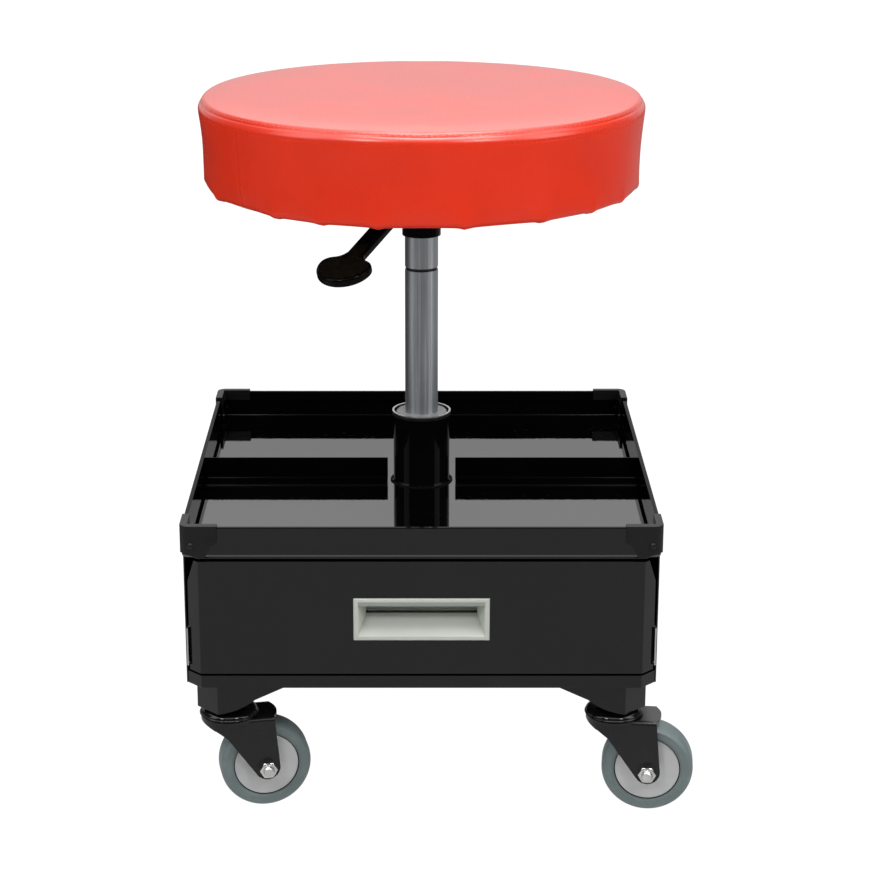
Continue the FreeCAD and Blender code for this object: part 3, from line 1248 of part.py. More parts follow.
def all_pieces():
    pieces = {
        "cabinet_shell": cabinet_shell(),
        "cabinet_floor": cabinet_floor(),
        "tray_pan": tray_pan(),
        "tray_divider_left": tray_divider(),
        "tray_divider_right": mirrored_x(tray_divider()),
        "tray_corner_caps": tray_corner_caps(),
        "tray_screws": tray_screws(),
        "slide_channel_left": mirrored_x(slide_channel()),
        "slide_channel_right": slide_channel(),
        "post_tube": post_tube(),
        "post_guide_sleeve": post_guide_sleeve(),
        "post_collar_ring": post_collar_ring(),
        "post_socket": post_socket(),
        "thrust_washer": thrust_washer(),
        "caster_stems": at_casters(caster_stem()),
        "caster_nuts": at_casters(caster_nut()),
        "caster_domes": at_casters(caster_dome()),
        "caster_ball_rings": at_casters(caster_ball_ring()),
        "piston_rod": piston_rod(),
        "thrust_bearing": thrust_bearing(),
        "rod_clip": rod_clip(),
        "lift_cylinder": lift_cylinder(),
        "seat_collar": seat_collar(),
        "seat_plate": seat_plate(),
        "seat_bolts": seat_bolts(),
        "seat_board": seat_board(),
        "seat_foam": seat_foam(),
        "seat_cover": seat_cover(),
        "lever_pin": lever_pin(),
        "lever_arm": lever_arm(),
        "lever_paddle": lever_paddle(),
        "release_button": release_button(),
        "drawer_front": drawer_front(),
        "drawer_pan": drawer_pan(),
        "drawer_handle": drawer_handle(),
        "drawer_runner_left": mirrored_x(drawer_runner()),
        "drawer_runner_right": drawer_runner(),
        "drawer_rivets": drawer_rivets(),
    }
    pieces.update(corner_legs())
    pieces.update(casters())
    return pieces


def main():
    os.makedirs("parts", exist_ok=True)
    for name, shape in all_pieces().items():
        solids = len(shape.Solids)
        print(f"{name}: {solids} solid(s), {shape.Volume:.0f} mm3, valid {shape.isValid()}")
        shape.exportStep(f"parts/{name}.step")


main()
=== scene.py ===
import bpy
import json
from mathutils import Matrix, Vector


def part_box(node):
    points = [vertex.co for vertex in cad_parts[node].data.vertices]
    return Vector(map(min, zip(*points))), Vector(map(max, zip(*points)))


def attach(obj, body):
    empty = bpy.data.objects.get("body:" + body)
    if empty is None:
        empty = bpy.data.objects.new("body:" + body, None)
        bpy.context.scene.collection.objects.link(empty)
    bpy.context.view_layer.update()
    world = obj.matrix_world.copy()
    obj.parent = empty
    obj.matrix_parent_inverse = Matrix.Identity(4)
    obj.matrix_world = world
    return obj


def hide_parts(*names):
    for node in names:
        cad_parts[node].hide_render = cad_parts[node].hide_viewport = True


bl_info = {
    "name": "Creeper Seat Dressing",
    "version": (1, 0, 0),
    "blender": (4, 5, 0),
    "location": "3D View > Sidebar > Creeper Seat",
    "description": "Upholsters, paints and lights a creeper seat with a tool tray and a drawer",
    "category": "Object",
}

import json
import math
import random

import bpy
import numpy as np
from bpy.props import FloatProperty, FloatVectorProperty, IntProperty, PointerProperty
from bpy.types import Operator, Panel, PropertyGroup
from mathutils import Matrix, Vector
from mathutils.kdtree import KDTree

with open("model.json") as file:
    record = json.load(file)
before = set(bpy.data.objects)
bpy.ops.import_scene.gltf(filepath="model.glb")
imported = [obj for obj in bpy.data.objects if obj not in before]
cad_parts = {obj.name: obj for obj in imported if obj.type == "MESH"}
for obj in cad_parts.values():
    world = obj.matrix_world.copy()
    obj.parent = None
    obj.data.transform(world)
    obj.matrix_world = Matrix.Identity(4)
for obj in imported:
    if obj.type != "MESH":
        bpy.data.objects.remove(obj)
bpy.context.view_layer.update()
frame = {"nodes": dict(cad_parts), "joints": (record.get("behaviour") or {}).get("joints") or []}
NODES = frame["nodes"]
RIM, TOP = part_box("seat_cover")[1].xz
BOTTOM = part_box("seat_cover")[0].z

JOINTS = {joint["name"]: joint for joint in frame["joints"]}

CORNERS = ("front_left", "front_right", "rear_left", "rear_right")
UP = Vector((0.0, 0.0, 1.0))
EASE = 0.0004  # over what distance a finish changes at an edge
CREASE = math.radians(38)  # edges of turned pieces that bend more than this are shaded sharp
DUST = (0.05, 0.05, 0.048)
PASSIVATION = (0.52, 0.50, 0.38)
BLACK = (0.004, 0.004, 0.004)


def at_corners(name):
    return [name + "_" + corner for corner in CORNERS]


SHEET_METAL = ("cabinet_shell", "cabinet_floor", "drawer_front", "tray_pan", "tray_divider_left",
               "tray_divider_right", *at_corners("corner_leg"), *at_corners("fork"))


def length(name, description, default):
    return FloatProperty(name=name, description=description, default=default, unit="LENGTH",
                         subtype="DISTANCE", precision=5)


def angle(name, description, degrees):
    return FloatProperty(name=name, description=description, default=math.radians(degrees),
                         unit="ROTATION", subtype="ANGLE")


def share(name, description, default):
    return FloatProperty(name=name, description=description, default=default, min=0.0, max=1.0,
                         subtype="FACTOR")


def level(name, description, default):
    return FloatProperty(name=name, description=description, default=default)


def colour(name, description, red, green, blue):
    return FloatVectorProperty(name=name, description=description, default=(red, green, blue),
                               size=3, min=0.0, max=1.0, subtype="COLOR")


class CushionSettings(PropertyGroup):
    sheet: length("Vinyl thickness", "Thickness of the cover", 0.0012)
    columns_per_stitch: IntProperty(name="Columns per stitch", description="Faces along one stitch",
                                    default=4, min=2)
    crown: length("Crown", "The top's middle over its edge", 0.0036)
    crown_over: length("Crown over the block", "The top's middle over the block", 0.0015)
    shoulder_width: length("Shoulder width", "From the rim to where the top turns down", 0.0060)
    seam_inset: length("Seam inset", "From the rim in to the seam", 0.0029)
    seam_drop: length("Seam drop", "The block's top to that seam", 0.0057)
    band_drop: length("Band drop", "The block's top to the rolled edge's foot", 0.0118)
    buffed_drop: length("Buffed drop", "The block's top to the end of the shine", 0.0097)
    seam_depth: length("Seam depth", "How far the seam sinks in", 0.00010)
    pucker: length("Pucker", "How far each stitch draws the rolled edge in", 0.0005)
    side_lean: length("Side lean", "How far the side's lower edge is drawn in", 0.004)
    side_wave: length("Side wave", "Height of the slow waves in the side", 0.00035)
    hem_round: length("Hem round", "Radius of the turn at the lower edge", 0.0055)
    hem_reach: length("Hem reach", "How far up the side the hem's pull shows", 0.021)
    hem_tension: share("Hem tension", "How straight the hem runs between gathers", 0.85)
    hem_opening: length("Hem opening", "Radius where the cover ends under the board", 0.140)
    pleat_depth: length("Pleat depth", "How far the gathers hang below the hem", 0.0007)
    band_seam: angle("Band seam", "Bearing of the side band's joint", 217.5)
    band_seam_depth: length("Band seam depth", "How far that joint sinks in", 0.00045)
    start_inset: length("Start inset", "How much smaller the padding starts", 0.003)
    voxel: length("Padding grain", "Size of the padding's faces", 0.006)
    pressure: level("Pressure", "How hard the foam pushes the cover out", 4.0)
    frames: IntProperty(name="Settling frames", description="How long the cover settles", default=20)
    foam_gap: length("Foam gap", "How far the foam stays back", 0.007)
    swell_cap: length("Most swell", "How far the cover may swell", 0.0007)


class StitchSettings(PropertyGroup):
    pitch: length("Stitch pitch", "One stitch to the next", 0.0047)
    length: length("Stitch length", "Length of the thread that shows", 0.0034)
    thread: length("Thread", "Radius of the thread", 0.00030)
    inset: length("Stitch inset", "The seam to the row of topstitching", 0.0009)
    staple_pitch: length("Staple pitch", "One staple under the board to the next", 0.021)
    staple_width: length("Staple width", "Length of a staple's back", 0.010)
    staple_wire: length("Staple wire", "Thickness of a staple", 0.0007)


class CasterSettings(PropertyGroup):
    fork_half: length("Fork half width", "The wheel's middle to a fork leg's outside", 0.018)
    nut_flats: length("Nut width", "Across the flats of the axle's head and nut", 0.0128)
    nut_height: length("Nut height", "Height of the axle's nut", 0.0063)
    head_height: length("Head height", "Height of the axle's head", 0.0052)
    nut_bevel: length("Nut bevel", "How far down the nut's corners are turned off", 0.0014)
    thread: length("Thread", "Radius of the axle's thread", 0.00395)
    thread_pitch: length("Thread pitch", "One turn of the thread to the next", 0.00125)
    thread_tail: length("Thread tail", "Thread that shows past the nut", 0.0033)
    # the black ring is a dark piece put in the groove between hub and tyre, standing for its shade
    shade_ring_radius: length("Seal radius", "Radius of the black ring between hub and tyre", 0.02675)
    shade_ring_width: length("Seal width", "Width of that ring", 0.0018)
    shade_ring_height: length("Seal height", "The wheel's middle to the face of that ring", 0.0103)
    dome_top: length("Dome top", "Radius of the flat on a swivel's dome", 0.0135)
    dome_lip: length("Dome lip", "Height of the upright lip round a dome", 0.0014)


class FinishSettings(PropertyGroup):
    vinyl: colour("Vinyl", "Seat cover", 0.800, 0.029, 0.0040)
    thread: colour("Thread", "Topstitching", 0.80, 0.15, 0.10)
    paint: colour("Black paint", "Cabinet, drawer, tray and casters", 0.0035, 0.0035, 0.0038)
    plastic: colour("Black plastic", "Corner caps and lever", 0.0040, 0.0040, 0.0044)
    handle: colour("Handle", "Drawer pull", 0.515, 0.54, 0.49)
    sleeve: colour("Guide sleeve", "Sleeve in the top of the post", 0.36, 0.38, 0.38)
    tyre: colour("Tyre", "Tyres", 0.150, 0.192, 0.190)
    hub: colour("Hub", "Wheel hubs", 0.54, 0.548, 0.543)
    steel: colour("Lift steel", "Drawn steel of the lift", 0.41, 0.43, 0.45)
    zinc: colour("Zinc", "Plated fasteners and slides", 0.66, 0.66, 0.645)
    wood: colour("Plywood", "Seat board", 0.50, 0.35, 0.20)
    bead: length("Weld bead", "Radius of the bead round the post's foot", 0.0011)
    # groove, mouth and lip place the painted shade in the drawer pull's pocket
    groove: length("Groove depth", "The drawer pull's front to the dark groove", 0.0168)
    mouth: length("Mouth width", "Width of the drawer pull's pocket", 0.101)
    lip: length("Lip height", "The drawer pull's foot to the shaded lip", 0.0294)
    edge: length("Edge break", "How far the sheet metal's edges are rounded", 0.00035)


class StudioSettings(PropertyGroup):
    camera_back: length("Camera distance", "Camera in front of the seat's axis", 1.93384)
    camera_height: length("Camera height", "Camera above the floor", 0.885)
    camera_pitch: angle("Camera pitch", "How far the camera looks down", 17.62)
    focal_length: level("Focal length", "Millimetres on a 36 mm sensor", 97.46)
    shift: level("Shift", "Sideways shift of the frame", 0.0155)
    floor: colour("Floor", "Floor and backdrop", 0.80, 0.80, 0.80)
    shadow: share("Floor shadow", "How much shading of the floor the camera sees", 0.08)
    floor_glow: level("Floor glow", "How bright the camera sees the floor", 1.10)
    floor_left: level("Floor left", "Floor behind on the left, in gloss", 0.05)
    floor_right: level("Floor right", "Floor behind on the right, in gloss", 0.38)
    floor_near: level("Floor near", "Floor close in front, in gloss", 0.64)
    floor_distant: level("Floor distant", "Floor far in front, in gloss", 0.12)
    sky_light: level("Sky light", "Even light from all round", 0.20)
    backdrop: level("Backdrop", "The backdrop, in gloss", 0.55)
    ceiling: level("Ceiling", "The ceiling, in gloss", 2.2)
    room: level("Room", "The rest of the room, in gloss", 0.13)
    overhead: level("Overhead lamp", "Watts", 33.0)
    front: level("Front lamps", "Watts, of each of the two", 14.5)
    left: level("Left lamp", "Watts", 13.0)
    right: level("Right lamp", "Watts", 17.0)


def assign(target, settings):
    for key, value in settings.items():
        setattr(target, key, value)
    return target


def worked(operation, reflected=False):
    """A method of Wire that adds one operation's node; a reflected one swaps its sides."""
    def method(self, other):
        sides = [other, self] if reflected else [self, other]
        kind = "ShaderNodeMath"
        if any(isinstance(side, Wire) and side.socket.type in {"VECTOR", "RGBA"} for side in sides):
            kind = "ShaderNodeVectorMath"
            sides = [side if isinstance(side, (Wire, tuple)) else (side,) * 3 for side in sides]
        return self.finish.node(kind, {"operation": operation}, dict(enumerate(sides)))

    return method


class Wire:
    """A shader value that can stand in arithmetic."""

    def __init__(self, finish, socket):
        self.finish = finish
        self.socket = socket

    __add__ = __radd__ = worked("ADD")
    __mul__ = __rmul__ = worked("MULTIPLY")
    __sub__, __rsub__ = worked("SUBTRACT"), worked("SUBTRACT", True)
    __truediv__, __rtruediv__ = worked("DIVIDE"), worked("DIVIDE", True)
    __pow__ = worked("POWER")

    def __neg__(self):
        return self * -1.0


class Finish:
    """A material, by its name, or a world, with its textures laid out in the part's own metres."""

    def __init__(self, owner):
        self.owner = bpy.data.materials.new(owner) if isinstance(owner, str) else owner
        self.owner.use_nodes = True
        self.tree = self.owner.node_tree
        self.tree.nodes.clear()

    def node(self, kind, settings=None, inputs=None, output=0):
        made = assign(self.tree.nodes.new(kind), settings or {})
        for key, value in (inputs or {}).items():
            if isinstance(value, Wire):
                self.tree.links.new(value.socket, made.inputs[key])
            else:
                made.inputs[key].default_value = value
        return Wire(self, made.outputs[output])

    def place(self):
        return self.node("ShaderNodeTexCoord", output="Object")

    def noise(self, scale, detail=2.0, roughness=0.5):
        """Noise of one scale, or with a scale for each axis."""
        point, scale = (self.place() * scale, 1.0) if isinstance(scale, tuple) else (self.place(), scale)
        inputs = {"Vector": point, "Scale": scale, "Detail": detail, "Roughness": roughness}
        return self.node("ShaderNodeTexNoise", None, inputs)

    def cells(self, scale):
        return self.node("ShaderNodeTexVoronoi", None, {"Vector": self.place(), "Scale": scale})

    def between(self, value, low, high, least=0.0, most=1.0):
        """Eases from least to most as value goes from low to high."""
        inputs = {"Value": value, "From Min": low, "From Max": high, "To Min": least, "To Max": most}
        return self.node("ShaderNodeMapRange", {"interpolation_type": "SMOOTHSTEP"}, inputs)

    def mixed(self, part, first, second):
        """Colour first where part is 0, and second where it is 1."""
        sides = [side if isinstance(side, Wire) else (*side, 1.0) for side in (first, second)]
        return self.node("ShaderNodeMix", {"data_type": "RGBA"}, {0: part, 6: sides[0], 7: sides[1]}, 2)

    def axes(self, vector):
        """The three axes of a vector."""
        split = self.node("ShaderNodeSeparateXYZ", None, {0: vector})
        return [Wire(self, socket) for socket in split.socket.node.outputs]

    def raised(self, height, depth, strength=1.0, under=None):
        """A normal for a relief that stands depth metres high where height is 1."""
        inputs = {"Height": height, "Distance": depth, "Strength": strength}
        if under is not None:
            inputs["Normal"] = under
        return self.node("ShaderNodeBump", None, inputs)

    def principled(self, base, rough, normal, **others):
        """A Principled shader; underlines in a name stand for spaces."""
        inputs = {"Base Color": base, "Roughness": rough, "Normal": normal}
        inputs.update((key.replace("_", " "), value) for key, value in others.items())
        return self.node("ShaderNodeBsdfPrincipled", None, inputs)

    def blended(self, part, first, second):
        """Shader first where part is 0, and second where it is 1."""
        return self.node("ShaderNodeMixShader", None, {0: part, 1: first, 2: second})

    def glow(self, kind, strength, tone=(1.0, 1.0, 1.0, 1.0)):
        return self.node(kind, None, {"Color": tone, "Strength": strength})

    def rays(self):
        """Which rays see this as the camera does, straight or through glass, and which see it in gloss."""
        camera, through, glossy = (self.node("ShaderNodeLightPath", output="Is %s Ray" % kind)
                                   for kind in ("Camera", "Transmission", "Glossy"))
        return self.node("ShaderNodeMath", {"operation": "MAXIMUM"}, {0: camera, 1: through}), glossy

    def surface(self, *inputs, **others):
        """Ends the material in one Principled shader."""
        return self.ended(self.principled(*inputs, **others))

    def ended(self, shader, kind="ShaderNodeOutputMaterial"):
        end = self.tree.nodes.new(kind)
        self.tree.links.new(shader.socket, end.inputs["Surface"])
        return self.owner


def tint(rgb, factor):
    return tuple(min(1.0, channel * factor) for channel in rgb)


def gloss_paint(name, rgb, wave, haze, ior=1.42, walls=None):
    """Stoved gloss paint: a slow wave, orange peel, dust nibs and wiped smudges in its shine.

    In a tray, given as a corner of its floor and the opposite corner of its rim, the paint lies
    thinner and duller on the walls, most of all inside them and on their rims.
    """
    f = Finish(name)
    smudge = f.between(f.noise(14.0, 6.0, 0.65), 0.45, 0.75)
    streak = f.between(f.noise((9.0, 60.0, 90.0), 4.0, 0.6), 0.52, 0.75)
    nib = 1.0 - f.between(f.cells(260.0), 0.03, 0.075)
    base = f.mixed(smudge * 0.6, rgb, tint(rgb, 1.7))
    base = f.mixed(nib * 0.5, base, DUST)
    rough = haze + smudge * 0.035 + streak * 0.02 + nib * 0.15
    slow = f.raised(f.noise(5.5, 1.0), wave)
    peel = f.raised(f.noise(420.0, 2.0), 0.000012, 1.0, slow)
    normal = f.raised(nib, 0.00003, 1.0, peel)
    if walls is None:
        return f.surface(base, rough, normal, IOR=ior)
    x, y, z = f.axes(f.place())
    low, high = walls
    raised = f.between(z, low.z + EASE, low.z + 2 * EASE)
    side, end, rim = (f.between(at, reach - 0.0005 - EASE, reach - 0.0005)
                      for at, reach in (((x * x) ** 0.5, high.x), ((y * y) ** 0.5, high.y), (z, high.z)))
    inside = (1.0 - side) * (1.0 - end) * (1.0 - rim)
    thin = raised * (0.72 + 0.28 * (inside + rim))
    full, dull = (f.principled(base, rough, normal, IOR=value) for value in (ior, 1.12))
    return f.ended(f.blended(thin, full, dull))


def moulded(name, rgb, grain, rough, speck, ior=1.37, painted_shade=()):
    """Moulded plastic with a spark-eroded grain, flow marks and rubbed patches.

    Each painted shade given is a colour and the range of X, Y and Z that it fills; it paints the shade of a
    recess into the base colour.
    """
    f = Finish(name)
    patch = f.between(f.noise(22.0, 5.0, 0.6), 0.4, 0.7)
    fine = f.noise(2600.0, 2.0, 0.6)
    flow = f.between(f.noise((30.0, 30.0, 140.0), 3.0, 0.5), 0.4, 0.7)
    base = f.mixed(patch * 0.5 + flow * 0.3, rgb, tint(rgb, speck))
    # painted shade: each box darkens the base colour where a recess of the piece lies in shade
    for shade_tone, *ranges in painted_shade:
        covered = 1.0
        for at, (low, high) in zip(f.axes(f.place()), ranges):
            covered = covered * f.between(at, low - EASE, low) * (1.0 - f.between(at, high, high + EASE))
        base = f.mixed(covered, base, shade_tone)
    return f.surface(base, rough + patch * 0.06 - flow * 0.04, f.raised(fine, grain), IOR=ior)


def drawn_steel(name, rgb, rough, groove=0.0, drawn=0.9, painted=0.0):
    """Ground and drawn steel: rings round the axis, long streaks and an oil film.

    Inside the groove radius it is black, a painted shade for the groove; below a height it is painted black.
    """
    f = Finish(name)
    x, y, z = f.axes(f.place())
    rings = f.noise((40.0, 40.0, 5200.0), 4.0, 0.7)
    streaks = f.noise((620.0, 620.0, 7.0), 3.0, 0.6)
    film = f.between(f.noise(26.0, 5.0, 0.6), 0.42, 0.72)
    base = f.mixed(f.between(streaks, 0.3, 0.7), tint(rgb, 0.78), tint(rgb, 1.12))
    base = f.mixed(film * 0.3, base, tint(rgb, 0.72))
    # black inside the groove radius is painted shade; black below the painted height is paint
    bare_unshaded = f.between((x * x + y * y) ** 0.5, groove, groove + 0.0002) * f.between(z, painted, painted + 0.0002)
    base = f.mixed(bare_unshaded, BLACK, base)
    return f.surface(base, rough + rings * 0.07 + film * 0.06, f.raised(rings, 0.000005, 0.8), Metallic=bare_unshaded,
                     Anisotropic=drawn, Anisotropic_Rotation=0.25)


def plated(name, rgb, rough):
    """Bright zinc plate: crystals, brown-blue passivation and handling marks."""
    f = Finish(name)
    crystal = f.cells(900.0)
    cloud = f.noise(70.0, 4.0, 0.6)
    base = f.mixed(f.between(cloud, 0.35, 0.7), tint(rgb, 0.8), rgb)
    base = f.mixed(f.between(cloud, 0.6, 0.75) * 0.35, base, PASSIVATION)
    base = f.mixed(f.between(crystal, 0.2, 0.7) * 0.2, base, tint(rgb, 0.65))
    return f.surface(base, rough + cloud * 0.15, f.raised(crystal, 0.000015, 0.6), Metallic=1.0)


def rubber(name, rgb):
    """Cast non-marking rubber: a fine bloom, a lighter tone within 12 mm of the floor and small scuffs."""
    f = Finish(name)
    bloom = f.between(f.noise(60.0, 6.0, 0.65), 0.4, 0.7)
    # lighter towards the bottom, within 12 mm of the floor
    lighter_near_floor = 1.0 - f.between(f.axes(f.place())[2], 0.0, 0.012)
    scuff = f.between(f.noise((260.0, 260.0, 260.0), 5.0, 0.7), 0.62, 0.75)
    base = f.mixed(bloom * 0.5, tint(rgb, 0.9), tint(rgb, 1.22))
    base = f.mixed(scuff * 0.35 + lighter_near_floor * 0.2, base, tint(rgb, 1.7))
    fine = f.raised(f.noise(1900.0, 2.0), 0.00003, 0.6)
    return f.surface(base, 0.42 + bloom * 0.12 + scuff * 0.2, fine, IOR=1.5)


def soft_vinyl(name, rgb, buffed):
    """Smooth upholstery vinyl: a pebble grain, dye clouds and a soft glare above the buffed height."""
    f = Finish(name)
    cloud = f.noise(9.0, 4.0, 0.6)
    pebble = f.cells(1150.0)
    crease = f.noise(330.0, 3.0, 0.6)
    base = f.mixed(f.between(cloud, 0.3, 0.7), tint(rgb, 0.95), tint(rgb, 1.05))
    base = f.mixed(f.between(pebble, 0.55, 0.9) * 0.25, base, tint(rgb, 0.72))
    roughness = 0.30 + f.between(cloud, 0.4, 0.7) * 0.05 + f.between(crease, 0.4, 0.7) * 0.03
    normal = f.raised(crease, 0.00008, 0.35, f.raised(pebble, 0.000035, 0.5))
    sheen = f.between(f.axes(f.place())[2], buffed - 0.002, buffed + 0.001)
    return f.surface(base, roughness, normal, IOR=1.38, Coat_Weight=sheen, Coat_IOR=1.55, Coat_Roughness=0.27)


def twisted_thread(name, rgb):
    """Bonded polyester thread: a close twist and a soft shine."""
    f = Finish(name)
    twist = f.noise(3800.0, 2.0)
    base = f.mixed(f.between(twist, 0.3, 0.7), tint(rgb, 0.75), rgb)
    return f.surface(base, 0.45 + twist * 0.2, f.raised(twist, 0.0001, 0.6), IOR=1.5)


def plywood(name, rgb):
    """Birch plywood: long grain along X, growth bands and pores."""
    f = Finish(name)
    grain = f.noise((9.0, 120.0, 120.0), 6.0, 0.65)
    pores = f.between(f.noise((90.0, 1500.0, 1500.0), 3.0, 0.7), 0.6, 0.75)
    base = f.mixed(f.between(grain, 0.3, 0.7), tint(rgb, 0.78), tint(rgb, 1.12))
    base = f.mixed(pores * 0.5, base, tint(rgb, 0.45))
    return f.surface(base, 0.62 + grain * 0.15, f.raised(grain - pores, 0.0001, 0.5))


def open_foam(name):
    """Open-celled foam: pores painted darker as the shade in their pits, with lighter walls."""
    f = Finish(name)
    pore = f.cells(700.0)
    base = f.mixed(f.between(pore, 0.2, 0.8), (0.35, 0.30, 0.16), (0.78, 0.72, 0.48))
    return f.surface(base, 0.85 + pore * 0.1, f.raised(pore, 0.0006, 0.7))


def coat(nodes, material):
    """Gives CAD nodes a material in place of their own."""
    for name in nodes:
        slots = NODES[name].data.materials
        if not slots:
            slots.append(material)
        for index in range(len(slots)):
            slots[index] = material


def linked(name, data):
    """A new object in the scene, of this mesh, lamp or camera."""
    made = bpy.data.objects.new(name, data)
    bpy.context.scene.collection.objects.link(made)
    return made


def new_piece(name, vertices, faces, material, smooth=True):
    mesh = bpy.data.meshes.new(name)
    mesh.from_pydata([tuple(v) for v in vertices], [], faces)
    mesh.validate()
    mesh.materials.append(material)
    mesh.polygons.foreach_set("use_smooth", [smooth] * len(mesh.polygons))
    return linked(name, mesh)


def grid_faces(rows, columns, first=0):
    """Quads between closed rings of vertices laid down row after row."""
    faces = []
    for row in range(rows - 1):
        for column in range(columns):
            following = (column + 1) % columns
            low = first + row * columns
            faces.append((low + column, low + following, low + columns + following, low + columns + column))
    return faces


def bent(start, end, stand_off, steps, crowd=1.0):
    """Points of the arc from start to end that stands stand_off to the left of its chord.

    They crowd towards the start where crowd is over 1, and towards the end where it is negative.
    """
    (a, b), (u, v) = start, end
    chord = math.hypot(u - a, v - b)
    radius = (chord ** 2 / 4 + stand_off ** 2) / (2 * abs(stand_off))
    half = math.asin(min(1.0, chord / 2 / radius))
    points = []
    for i in range(steps + 1):
        t = (i / steps) ** crowd if crowd > 0 else 1.0 - (1.0 - i / steps) ** -crowd
        turn = half * (2.0 * t - 1.0)
        along = 0.5 + radius * math.sin(turn) / chord
        rise = math.copysign(radius * math.cos(turn) - radius * math.cos(half), stand_off)
        points.append((a + (u - a) * along - rise * (v - b) / chord,
                       b + (v - b) * along + rise * (u - a) / chord))
    return points


# bearings of the gathers in the hem, counted from the right; the front is at 270
GATHERS = (8, 26, 41, 58, 77, 93, 110, 128, 143, 160, 181, 203, 230, 244, 259, 281, 302, 319, 334, 352)
PLEAT_WIDTH = 1.6  # degrees


def cushion_profile(s):
    """Half of the cushion's section as radius and height, from the middle of its top to under the board."""
    rim, top, bottom = RIM, TOP, BOTTOM
    middle = top + s.crown_over
    shoulder = (rim - s.shoulder_width, middle - s.crown)
    seam = (rim - s.seam_inset, top - s.seam_drop)
    foot = (rim - 0.0003, top - s.band_drop)
    hem = (rim - s.side_lean, bottom + s.hem_round)
    under = (hem[0] - s.hem_round, bottom)
    crown = [(shoulder[0] * t, middle - s.crown * t ** 6)
             for t in (0.004, 0.05, 0.12, 0.2, 0.3, 0.4, 0.5, 0.6, 0.7, 0.79, 0.86, 0.91, 0.945, 0.97, 0.988)]
    turn = bent(shoulder, seam, 0.0004, 18, -1.3)
    edge = bent(seam, foot, 0.0007, 12)[1:]
    side = bent(foot, hem, -0.0009, 46, 1.6)[1:]
    roll = bent(hem, under, 0.0017, 8)[1:]
    beneath = [(under[0] + (s.hem_opening - under[0]) * t, bottom)
               for t in (0.06, 0.13, 0.22, 0.35, 0.5, 0.75, 1.0)]
    inner = [(s.hem_opening, bottom + s.sheet), (s.hem_opening + 0.004, bottom + s.sheet)]
    return crown + turn + edge + side + roll + beneath + inner


def bell(distance, width):
    return np.exp(-(distance / width) ** 2)


def gathered(theta, radius, tension):
    """Round the hem: how much of a gather there is, and how far the hem is drawn in between two gathers."""
    bearings = np.degrees(theta) % 360.0
    starts = np.array(GATHERS, float)
    place = np.searchsorted(starts, bearings, side="right")
    before = np.where(place == 0, starts[-1] - 360.0, starts[place - 1])
    after = np.where(place == len(starts), starts[0] + 360.0, starts[place % len(starts)])
    along = (bearings - before) / (after - before)
    sag = radius * (1.0 - np.cos(np.radians(after - before) / 2)) * tension
    nearest = np.minimum(bearings - before, after - bearings)
    return bell(nearest, PLEAT_WIDTH), sag * 4.0 * along * (1.0 - along)


def dressed_cushion(s, stitches):
    """The cover's vertices: the profile swept round, seamed, puckered and gathered at its hem."""
    profile = np.array(cushion_profile(s))
    rim, top, bottom = RIM, TOP, BOTTOM
    count = round(math.tau * rim / stitches.pitch)
    columns = count * s.columns_per_stitch
    theta = math.tau * np.arange(columns) / columns
    r, z = (np.repeat(profile[:, axis:axis + 1], columns, axis=1) for axis in (0, 1))
    radius, height = r.copy(), z.copy()
    # the seam and the row of stitches inside it sink; the rolled edge is drawn in at each stitch
    seam_width, row_width, row_depth, pucker_width = 0.0007, 0.0006, 0.0002, 0.0011
    seam_at, seam_height, band_foot = rim - s.seam_inset, top - s.seam_drop, z - (top - s.band_drop)
    sunk = s.seam_depth * bell(np.hypot(r - seam_at, z - seam_height), seam_width)
    row = bell(r - (seam_at - stitches.inset), row_width) * (z > seam_height)
    ripple = 0.5 + 0.5 * np.cos(count * theta)
    height -= sunk + row_depth * row * (0.35 + 0.65 * ripple)
    radius -= sunk * 0.6
    band = (r > rim - 0.01) & (z < seam_height + 1e-6)
    radius -= band * s.pucker * (0.25 + 0.75 * ripple) * bell(band_foot, pucker_width)
    # the whole rolled edge stands a little higher on three sides
    height += 0.0005 * np.sin(3 * theta + 0.4) * bell(band_foot, 0.012) * (r / rim) ** 6
    # slow waves and the joint in the side
    rng = random.Random(7)
    middle = (r > rim - 0.012) * bell((z - bottom) / (top - bottom) - 0.45, 0.32)
    for _ in range(6):
        size, turns, start = rng.uniform(0.4, 1.0), rng.randint(3, 11), rng.uniform(0, math.tau)
        radius += middle * s.side_wave * size * np.sin(turns * theta + start + z * 22.0)
    across = ((theta - s.band_seam + math.pi) % math.tau - math.pi) * rim
    joint = (r > rim - 0.012) & (z < top - s.band_drop) & (z > bottom + 0.001)
    radius -= joint * s.band_seam_depth * (bell(across, 0.0012) - 0.7 * bell(across - 0.0030, 0.0022))
    # the hem: drawn nearly straight from one gather to the next, and gathered into a small pleat at each
    pleat, sag = gathered(theta, rim - s.side_lean, s.hem_tension)
    low = np.clip(1.0 - (z - bottom) / s.hem_reach, 0.0, 1.0) * (r > s.hem_opening)
    inward = np.clip((r - s.hem_opening) / 0.03, 0.0, 1.0)
    radius -= sag * low ** 2.2 * inward
    height += 0.12 * sag * low ** 3 * inward
    height -= s.pleat_depth * pleat * low ** 3 * inward
    radius += 0.0004 * pleat * low * inward
    beneath = (z < bottom + 0.0004) & (r < rim - s.side_lean - s.hem_round) & (r > s.hem_opening + 0.001)
    height -= beneath * 0.0009 * pleat
    swept = np.stack([radius * np.cos(theta), radius * np.sin(theta), height], axis=-1)
    return profile, columns, swept.reshape(-1, 3)


CLOTH = {"quality": 6, "mass": 0.35, "tension_stiffness": 28.0, "compression_stiffness": 20.0,
         "shear_stiffness": 8.0, "bending_stiffness": 0.6, "use_pressure": True, "pin_stiffness": 4.0}


